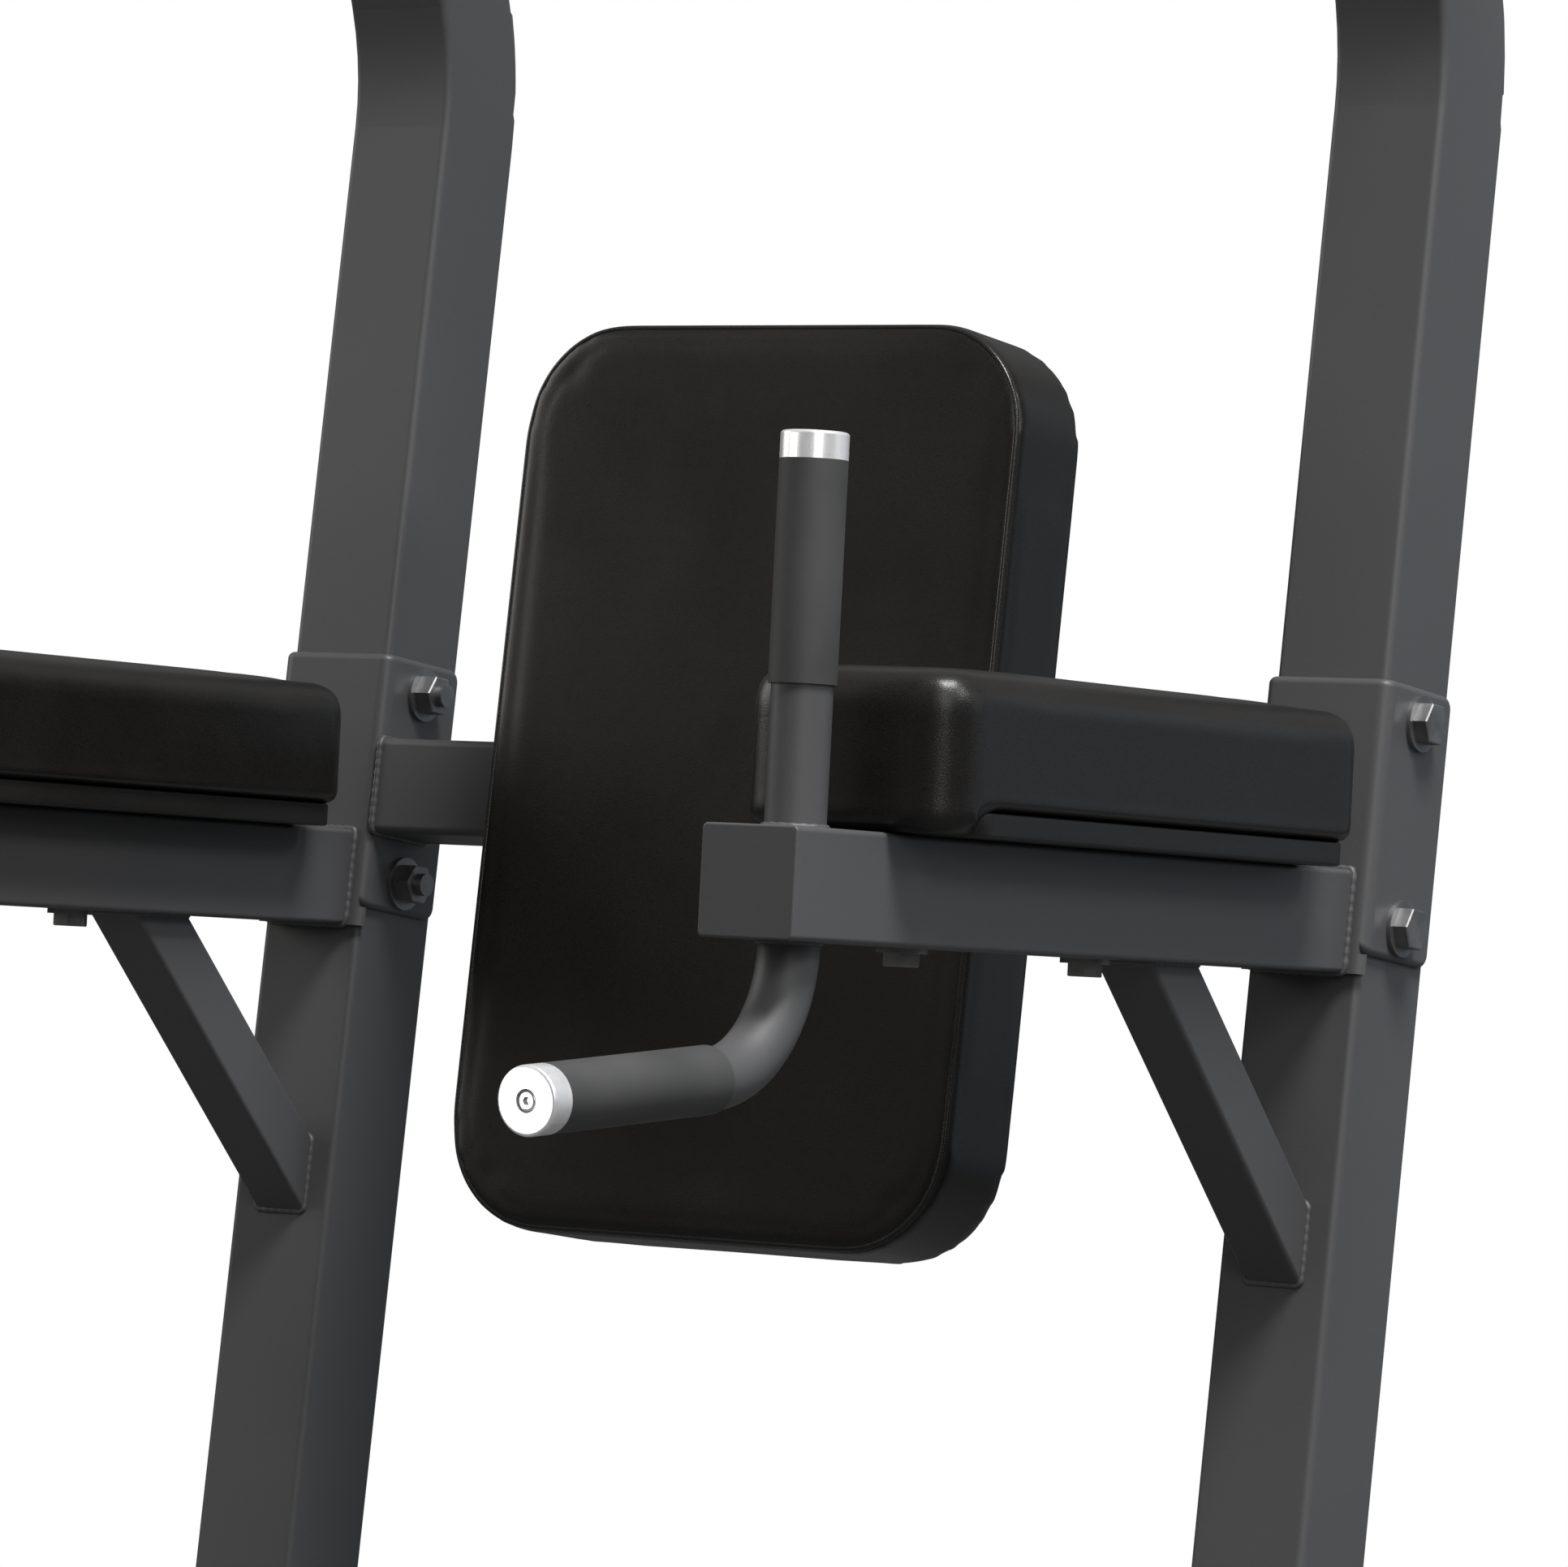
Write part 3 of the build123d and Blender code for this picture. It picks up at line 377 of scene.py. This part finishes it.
def metal(name, value, rough):
    """Plain bright or blackened metal with small handling marks."""
    n = Nodes(name)
    wide = n.noise(90.0, 4.0)
    colour = n.mix(n.span(wide, 0.35, 0.65, 0.0, 1.0), grey(value * 0.8), grey(value * 1.1))
    edges = n.math("MULTIPLY", edge_wear(n, 0.5 * MM), 0.5)
    worn = n.mix(edges, colour, grey(min(1.0, value * 1.8)))
    rough = n.span(wide, 0.3, 0.7, rough, rough + 0.12)
    normal = n.bump(n.noise(500.0, 2.0), 0.08, 0.1 * MM)
    return n.set(Base_Color=worn, Metallic=0.9, Roughness=rough, Normal=normal)


def plastic(name, value):
    """Moulded plastic with a fine spark-eroded texture."""
    n = Nodes(name)
    wide = n.noise(30.0, 3.0)
    colour = n.mix(n.span(wide, 0.3, 0.7, 0.0, 1.0), grey(value * 0.9), grey(value * 1.15))
    normal = n.bump(n.noise(1100.0, 2.0), 0.15, 0.12 * MM)
    return n.set(Base_Color=colour, Roughness=0.5, Normal=normal)


def plywood():
    """Black-stained plywood with its grain running up the board."""
    n = Nodes("plywood")
    stretch = n.add("Mapping", Vector=n.coords)
    stretch.inputs["Scale"].default_value = (60.0, 60.0, 4.0)
    grain = n.noise(1.0, 6.0, 0.6, stretch.outputs["Vector"])
    bands = n.span(grain, 0.35, 0.65, 0.0, 1.0)
    colour = n.mix(bands, (0.030, 0.025, 0.020, 1), (0.065, 0.052, 0.040, 1))
    return n.set(Base_Color=colour, Roughness=0.7, Normal=n.bump(grain, 0.2, 0.5 * MM))


MATERIALS = {
    "frame_paint": powder_coat(),
    "vinyl": vinyl("vinyl", 1.0, 0.27),
    # painted highlight: the piping is the same vinyl made 1.6 times brighter, standing in for the
    # highlight along the backrest's front edge
    "vinyl_piping": vinyl("vinyl_piping", 1.6, 0.22),
    "vinyl_board": vinyl("vinyl_board", 1.4, 0.34),
    "board": plywood(),
    "rubber_grip": rubber("grip_rubber", 0.045),
    "cap_metal": turned_aluminium(),
    "cap_screw": metal("screw_metal", 0.75, 0.18),
    "steel_fastener": metal("grey_steel", 0.24, 0.38),
    "zinc": metal("zinc_plate", 0.36, 0.38),
    "plug_plastic": plastic("plug_plastic", 0.022),
    "foot_rubber": rubber("foot_rubber", 0.020),
}


def finish_cad_nodes():
    """Give every CAD node the finish of its slot."""
    for part in frame["record"]["subparts"]:
        node = NODES[part["node"]]
        node.data.materials.clear()
        node.data.materials.append(MATERIALS[part["material_slot"]])


finish_cad_nodes()


# ================= upholstery =================
def slab(half_x, half_y, corner, profile):
    """Closed shell from a stack of rounded outlines.

    The profile lists each outline's inset and height.
    """
    verts, faces = [], []
    count = 0
    for inset, height in profile:
        ring = outline(half_x - inset, half_y - inset, max(corner - inset, 1 * MM))
        count = len(ring)
        verts += [Vector((p.x, p.y, height)) for p in ring]
    for r in range(len(profile) - 1):
        a, b = r * count, (r + 1) * count
        for k in range(count):
            k2 = (k + 1) % count
            faces.append((a + k, a + k2, b + k2, b + k))
    faces.append(tuple(reversed(range(count))))
    faces.append(tuple(range(len(verts) - count, len(verts))))
    return verts, faces


def rounding(inset, height, radius, way, steps=6):
    """Profile points of a rounded edge that ends or starts at a height.

    way +1 closes a front and -1 opens a back.
    """
    points = []
    for i in range(steps + 1):
        turn = math.pi / 2 * i / steps
        drop = way * radius * (1 - math.sin(turn))
        points.append((inset + radius * (1 - math.cos(turn)), height - drop))
    return points if way > 0 else list(reversed(points))


def remesh(obj, voxel):
    """Even quads all over the shell."""
    modifier = obj.modifiers.new("even", "REMESH")
    modifier.mode = "VOXEL"
    modifier.voxel_size = voxel
    bake_modifiers(obj)


def inflate(obj, held, caps):
    """Swell a shell with a short cloth simulation.

    held(co) says which points stay put, and caps(co) how far one may move.
    """
    start = [v.co.copy() for v in obj.data.vertices]
    pins = obj.vertex_groups.new(name="held")
    for v in obj.data.vertices:
        weight = held(v.co)
        if weight > 0:
            pins.add([v.index], weight, "REPLACE")
    cloth = obj.modifiers.new("cloth", "CLOTH")
    settings = cloth.settings
    settings.quality = 5
    settings.mass = 0.3
    settings.tension_stiffness = STIFF
    settings.compression_stiffness = STIFF
    settings.shear_stiffness = 5.0
    settings.bending_stiffness = 2.0
    settings.use_pressure = True
    settings.uniform_pressure_force = PRESSURE
    settings.effector_weights.gravity = 0.0
    settings.vertex_group_mass = "held"
    cloth.point_cache.frame_start = 1
    cloth.point_cache.frame_end = CLOTH_FRAMES
    for step in range(1, CLOTH_FRAMES + 1):
        bpy.context.scene.frame_set(step)
    swollen = frozen(obj)
    moved = [v.co.copy() for v in swollen.vertices]
    bpy.data.meshes.remove(swollen)
    obj.modifiers.clear()
    obj.vertex_groups.clear()
    bpy.context.scene.frame_set(1)
    for v, old, new in zip(obj.data.vertices, start, moved):
        shift = new - old
        cap = caps(old)
        v.co = old + shift * (cap / max(cap, shift.length))
    return obj


def snug(obj, half, corner, edge, height, within, over, reach):
    """Keep the cover close to its foam: at most `within` under its surface and over(co) above.

    Points where reach(co) is false are left alone.
    """

    def gap(p):
        right, deep = abs(p.x) - half.x + corner, abs(p.y) - half.y + corner
        plan = math.hypot(max(right, 0.0), max(deep, 0.0)) + min(max(right, deep), 0.0) - corner
        out, up = plan + edge, p.z - height + edge
        return math.hypot(max(out, 0.0), max(up, 0.0)) + min(max(out, up), 0.0) - edge

    step = 0.05 * MM
    axes = [Vector(a) * step for a in ((1, 0, 0), (0, 1, 0), (0, 0, 1))]
    for v in obj.data.vertices:
        p = v.co.copy()
        now = gap(p)
        goal = max(-within, min(over(p), now))
        if goal == now or not reach(p):
            continue
        slope = Vector([gap(p + a) - gap(p - a) for a in axes])
        if slope.length > 0.1 * step:
            v.co = p + slope.normalized() * (goal - now)


def relax(obj, rounds, factor=0.5):
    """Even out small steps in a mesh without shrinking it much."""
    mesh = bmesh.new()
    mesh.from_mesh(obj.data)
    for _ in range(rounds):
        for strength in (factor, -factor * 1.04):
            moves = []
            for v in mesh.verts:
                near = [e.other_vert(v).co for e in v.link_edges]
                moves.append((sum(near, Vector()) / len(near) - v.co) * strength)
            for v, move in zip(mesh.verts, moves):
                v.co += move
    mesh.to_mesh(obj.data)
    mesh.free()


def subdivide(obj):
    """One level of subdivision, applied."""
    modifier = obj.modifiers.new("round", "SUBSURF")
    modifier.levels = 1
    modifier.render_levels = 1
    bake_modifiers(obj)
    shade(obj.data, 180)


def surface_loop(obj, loop, inward, sink):
    """Drop each point of a loop inward on to the surface, then this much below it."""
    outside = 0.03  # each ray starts this far out
    tree = BVHTree.FromObject(obj, bpy.context.evaluated_depsgraph_get())
    result = []
    for p in loop:
        way = inward(p).normalized()
        hit = tree.ray_cast(p - way * outside, way)[0]
        result.append((hit if hit is not None else p) + way * sink)
    return result


def armrest_cushions():
    """The two armrest pads: foam under vinyl, with a flap over the front of the board."""
    low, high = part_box("armrest_right")
    middle = (low + high) / 2
    half = (high - low) / 2
    corner, top_edge, under_edge = 25 * MM, 16 * MM, 3 * MM
    slack = 5 * MM  # the shell starts this much too small
    height = high.z - low.z
    hx, hy, cr = half.x - slack, half.y - slack, 14 * MM
    profile = rounding(0, 0, under_edge, -1) + rounding(0, height - slack, top_edge / 2, 1)
    block = slab(hx, hy, cr, profile)
    # the cover comes down over the front end of the board
    board = low.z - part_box("armrest_boards")[0].z
    deep = cr + 4 * MM
    sides = rounding(0, 0.5 * MM - board, 1.5 * MM, -1, 3) + [(0, height / 3)]
    flap_verts, flap_faces = slab(hx, deep, cr, sides)
    flap_verts = [v + Vector((0.0, deep - hy, 0.0)) for v in flap_verts]
    verts, faces = join([block, (flap_verts, flap_faces)])
    place = Matrix.Translation(Vector((middle.x, middle.y, low.z)))
    right = add_mesh("armrest_cushion_right", verts, faces, MATERIALS["vinyl"])
    remesh(right, VOXEL)

    def held(co):
        return 1.0 if co.z < 4 * MM else 0.0

    def caps(co):
        up = min(1.0, max(0.0, co.z / height))
        inside = 1.0 - max(abs(co.x) / half.x, abs(co.y) / half.y) ** 2
        return slack + (0.9 * math.sin(math.pi * up) + 2.2 * max(0.0, inside) * up) * MM

    inflate(right, held, caps)
    relax(right, 2)

    def crown(co):
        inside = 1.0 - max(abs(co.x) / half.x, abs(co.y) / half.y) ** 2
        return (0.4 + 2.4 * max(0.0, inside) * (co.z > height / 2)) * MM

    def outer(co):
        """The sides and top, and the flap's front and sides."""
        return co.z > 0.5 * MM or (co.z > 1.5 * MM - board and co.y < BOARD_START - half.y)

    snug(right, half, corner, top_edge, height, 0.4 * MM, crown, outer)
    relax(right, 3)
    subdivide(right)
    right.data.transform(place)

    put(right)
    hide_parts("armrest_right")
    left = mirrored(right, "armrest_cushion_left")
    put(left)
    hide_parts("armrest_left")


def mirrored(piece, name):
    """The piece on the other side of the machine."""
    mesh = piece.data.copy()
    mesh.name = name
    mesh.transform(Matrix.Scale(-1, 4, ACROSS))
    mesh.flip_normals()
    return link(bpy.data.objects.new(name, mesh))


def armrest_board_wraps():
    """The boards under the pads, wrapped in vinyl with rounded corners."""
    low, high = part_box("armrest_boards")
    for side, name in ((1, "armrest_board_right"), (-1, "armrest_board_left")):
        pad_low, pad_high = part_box("armrest_right" if side > 0 else "armrest_left")
        inset = pad_high.y - high.y
        half_x = (pad_high.x - pad_low.x) / 2 - inset
        front = pad_low.y + BOARD_START
        half_y = (high.y - front) / 2
        profile = rounding(0, 0, 1.6 * MM, -1, 4) + rounding(0, high.z - low.z, 1.0 * MM, 1, 3)
        verts, faces = slab(half_x, half_y, 20 * MM, profile)
        middle = Vector(((pad_low.x + pad_high.x) / 2, (front + high.y) / 2, low.z))
        piece = add_mesh(name, [v + middle for v in verts], faces, MATERIALS["vinyl_board"], 60)
        put(piece)
        if side > 0:
            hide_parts("armrest_boards")


def backrest():
    """The backrest cushion: a firm block with a crowned front and piping round its front edge."""
    turn = basis(Vector(), ACROSS, UP, AHEAD)
    low, high = local_box("backrest_cushion", turn)
    middle = (low + high) / 2
    half = (high - low) / 2
    depth = high.z - low.z
    corner, edge, rear_edge = 57 * MM, 5 * MM, 2.5 * MM
    dish = 5 * MM  # the front starts this much hollow, and the sides start drawn in
    drawn = 3 * MM
    place = turn @ Matrix.Translation(Vector((middle.x, middle.y, low.z)))
    profile = rounding(0, 0, rear_edge, -1)
    profile += [(drawn, 0.25 * depth), (drawn, 0.75 * depth)]
    profile += rounding(0.5 * MM, depth - 0.5 * MM, edge, 1)
    profile += [(2.5 * edge, depth - 0.5 * dish), (4 * edge, depth - dish)]
    verts, faces = slab(half.x, half.y, corner, profile)
    cushion = add_mesh("backrest_pad", verts, faces, MATERIALS["vinyl"])
    remesh(cushion, VOXEL)

    def held(co):
        if co.z < 5 * MM:
            return 1.0
        # the piped edge is held by its seam
        over_x = max(abs(co.x) - (half.x - corner), 0.0)
        over_y = max(abs(co.y) - (half.y - corner), 0.0)
        if min(over_x, over_y) > 0:
            rim = corner - math.hypot(over_x, over_y)
        else:
            rim = min(half.x - abs(co.x), half.y - abs(co.y))
        return 0.9 if co.z > depth - 8 * MM and rim < 7 * MM else 0.0

    def caps(co):
        inside = max(0.0, 1.0 - (co.x / half.x) ** 2) * max(0.0, 1.0 - (co.y / half.y) ** 2)
        front = 1.0 if co.z > depth - 8 * MM else 0.0
        return drawn + front * (dish - drawn + 2.5 * MM * inside ** 0.6)

    inflate(cushion, held, caps)
    relax(cushion, 2)

    def crown(co):
        inside = max(0.0, 1.0 - (co.x / half.x) ** 2) * max(0.0, 1.0 - (co.y / half.y) ** 2)
        return (0.2 + 1.8 * inside ** 0.6 * (co.z > depth / 2)) * MM

    snug(cushion, half, corner, edge, depth, 0.3 * MM, crown, lambda co: co.z > 3 * MM)
    relax(cushion, 4)
    subdivide(cushion)

    # piping round the front edge
    rim = outline(half.x - 1.2 * MM, half.y - 1.2 * MM, corner - 1.2 * MM)
    loop = [Vector((p.x, p.y, depth - 1.2 * MM)) for p in resample(rim, 3 * MM)]

    def inward(p):
        core_x, core_y = half.x - corner, half.y - corner
        core = Vector((max(-core_x, min(core_x, p.x)), max(-core_y, min(core_y, p.y)), p.z))
        return (core - p).normalized() - UP_Z

    piping = surface_loop(cushion, loop, inward, 0.4 * MM)
    for _ in range(6):
        before, after = piping[-1:] + piping[:-1], piping[1:] + piping[:1]
        piping = [(a + b * 2 + c) / 4 for a, b, c in zip(before, piping, after)]
    verts, faces = cord(piping, 1.6 * MM, 10)
    verts = [place @ v for v in verts]
    cushion.data.transform(place)
    trim = add_mesh("backrest_piping", verts, faces, MATERIALS["vinyl_piping"], 180)
    put(cushion)
    put(trim)
    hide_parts("backrest_cushion")


# ================= welds =================
def hull(points):
    """Corners of the convex outline round 2-D points, in order."""
    points = sorted(set((round(x, 6), round(y, 6)) for x, y in points))

    def half(ordered):
        chain = []
        for p in ordered:
            while len(chain) > 1:
                a, b = chain[-2], chain[-1]
                if (b[0] - a[0]) * (p[1] - a[1]) - (b[1] - a[1]) * (p[0] - a[0]) > 0:
                    break
                chain.pop()
            chain.append(p)
        return chain[:-1]

    return half(points) + half(points[::-1])


def end_loop(node, way):
    """Closed loop round the end of a CAD node that lies farthest along a direction."""
    way = way.normalized()
    right = way.orthogonal().normalized()
    up = way.cross(right)
    points = [v.co for v in NODES[node].data.vertices]
    far = max(p.dot(way) for p in points)
    flat = [(p.dot(right), p.dot(up)) for p in points if p.dot(way) > far - 0.3 * MM]
    return [right * x + up * y + way * far for x, y in hull(flat)]


def bead(loop, size):
    """A rippled weld bead along a loop."""
    points = resample(loop, 1.6 * MM)
    ripple = 2 * math.pi / 3.2  # one ripple takes this many points

    def radius(i):
        return size * (1 + 0.14 * math.sin(ripple * i) + 0.10 * noise.noise(points[i] * 60))

    return cord(points, radius, 8)


def welds():
    """Fillet welds round the joints between the tubes."""
    groups = {
        "weld_arm": [("arm", -AHEAD, 2.0), ("brace", UP_Z, 1.7), ("brace", -AHEAD, 1.7)],
        "weld_base": [("upright", -UP_Z, 3.2), ("stay", -UP_Z, 2.6), ("stay", AHEAD, 2.6)],
    }
    for name, joints in groups.items():
        for side in ("left", "right"):
            parts = [bead(end_loop(f"{node}_{side}", way), size * MM) for node, way, size in joints]
            piece = add_mesh(f"{name}_{side}", *join(parts), MATERIALS["frame_paint"], 180)
            put(piece)
    for name, node, size in (
        ("weld_crossbar", "backrest_crossbar", 1.8),
        ("weld_lower_crossbar", "lower_crossbar", 2.6),
        ("weld_rear_tube", "rear_cross_tube", 2.6),
    ):
        parts = [bead(end_loop(node, ACROSS * side), size * MM) for side in (-1, 1)]
        put(add_mesh(name, *join(parts), MATERIALS["frame_paint"], 180))
    low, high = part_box("arm_right")
    radius = HANDLE_TUBE / 2
    turns = [2 * math.pi * i / 48 for i in range(48)]
    for side in ("left", "right"):
        grip_low, grip_high = handle_box(side)
        middle = (grip_low + grip_high) / 2
        parts = []
        for level in (high.z, low.z):
            ring = [
                Vector((middle.x + radius * math.cos(t), middle.y + radius * math.sin(t), level))
                for t in turns
            ]
            parts.append(bead(ring, 1.6 * MM))
        piece = add_mesh(f"weld_handle_{side}", *join(parts), MATERIALS["frame_paint"], 180)
        put(piece)


def handle_box(side):
    """The box of the upright grip on one side."""
    low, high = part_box("upper_grips")
    low, high = low.copy(), high.copy()
    if side == "left":
        high.x = low.x + GRIP_OUTSIDE
    else:
        low.x = high.x - GRIP_OUTSIDE
    return low, high


# ================= studio =================
def camera_only(tree):
    """A value that is 1 for rays that come straight from the camera."""
    return tree.nodes.new("ShaderNodeLightPath").outputs["Is Camera Ray"]


def pale_floor():
    """Floor that takes a soft contact shadow near the machine and fades to white farther away."""
    n = Nodes("pale_floor")
    tone = n.mix(camera_only(n.tree), grey(FLOOR_BOUNCE), grey(FLOOR_TONE))
    n.set(Base_Color=tone, Roughness=0.7, Specular_IOR_Level=0.1)
    distance = n.tree.nodes.new("ShaderNodeVectorMath")
    distance.operation = "LENGTH"
    n.put(distance.inputs[0], n.coords)
    fade = n.span(distance.outputs["Value"], *FLOOR_FADE, FLOOR_GLOW, 1.0)
    seen = n.math("MULTIPLY", camera_only(n.tree), fade)
    glow = n.add("Emission", Color=grey(1.0), Strength=1.0)
    blend = n.add("MixShader", Fac=seen)
    n.put(blend.inputs[1], n.bsdf.outputs[0])
    n.put(blend.inputs[2], glow.outputs[0])
    n.put(n.tree.nodes["Material Output"].inputs["Surface"], blend.outputs[0])
    return n.mat


def softbox(name, way, away, width, power, tint):
    """A square soft light that stands a distance away from the lit middle and looks at it."""
    place = LIT_MIDDLE + Vector(way).normalized() * away
    light = bpy.data.lights.new(name, "AREA")
    light.shape = "SQUARE"
    light.size = width
    light.energy = power
    light.color = tint
    lamp = link(bpy.data.objects.new(name, light))
    lamp.location = place
    lamp.rotation_euler = (LIT_MIDDLE - place).to_track_quat("-Z", "Y").to_euler()
    lamp.visible_camera = False
    return lamp


def studio():
    """Pale floor, white backdrop and soft lights."""
    corners = [Vector((x, y, 0.0)) * FLOOR_HALF for x, y in ((-1, -1), (1, -1), (1, 1), (-1, 1))]
    add_mesh("studio_floor", corners, [(0, 1, 2, 3)], pale_floor(), 180)

    world = bpy.data.worlds.new("studio")
    bpy.context.scene.world = world
    world.use_nodes = True
    tree = world.node_tree
    way = tree.nodes.new("ShaderNodeTexCoord")
    height = tree.nodes.new("ShaderNodeSeparateXYZ")
    tree.links.new(way.outputs["Generated"], height.inputs[0])
    sky = tree.nodes.new("ShaderNodeMapRange")
    tree.links.new(height.outputs["Z"], sky.inputs[0])
    for socket, value in zip(sky.inputs[1:5], (0.0, 0.8, GROUND, SKY)):
        socket.default_value = value
    level = tree.nodes.new("ShaderNodeMapRange")
    tree.links.new(camera_only(tree), level.inputs[0])
    tree.links.new(sky.outputs[0], level.inputs[3])
    level.inputs[4].default_value = BACKDROP
    background = tree.nodes["Background"]
    background.inputs[0].default_value = (1.0, 1.0, 1.0, 1.0)
    tree.links.new(level.outputs[0], background.inputs[1])
    bpy.context.scene.view_settings.view_transform = "Standard"

    for name, way, away, width, power, tint in LAMPS:
        lamp = softbox(name, way, away, width, power, tint)
        lamp.visible_glossy = name != "back"  # the rear lamp lifts the back without a rim of light
    bright = bpy.data.collections.new("bright_caps")
    for part in frame["record"]["subparts"]:
        if part["material_slot"] in ("cap_metal", "cap_screw"):
            bright.objects.link(NODES[part["node"]])
    for name, way, away, width, power, tint in CARDS:
        lamp = softbox(name, way, away, width, power, tint)
        lamp.light_linking.receiver_collection = bright


def camera():
    """The camera, turned by its azimuth, pitch and roll."""
    azimuth, pitch = math.radians(CAMERA_AZIMUTH), math.radians(CAMERA_PITCH)
    roll = math.radians(CAMERA_ROLL)
    flat = math.cos(pitch)
    look = Vector((-math.sin(azimuth) * flat, math.cos(azimuth) * flat, math.sin(pitch)))
    level = Vector((math.cos(azimuth), math.sin(azimuth), 0.0))
    up = level.cross(look)
    right = level * math.cos(roll) + up * math.sin(roll)
    top = up * math.cos(roll) - level * math.sin(roll)
    data = bpy.data.cameras.new("camera")
    data.lens = CAMERA_LENS
    data.sensor_width = 36.0
    data.clip_end = 100.0
    cam = link(bpy.data.objects.new("camera", data))
    turn = Matrix((right, top, -look)).transposed()
    cam.matrix_world = Matrix.Translation(CAMERA_AT) @ turn.to_4x4()
    bpy.context.scene.camera = cam


armrest_cushions()
armrest_board_wraps()
backrest()
welds()
studio()
camera()
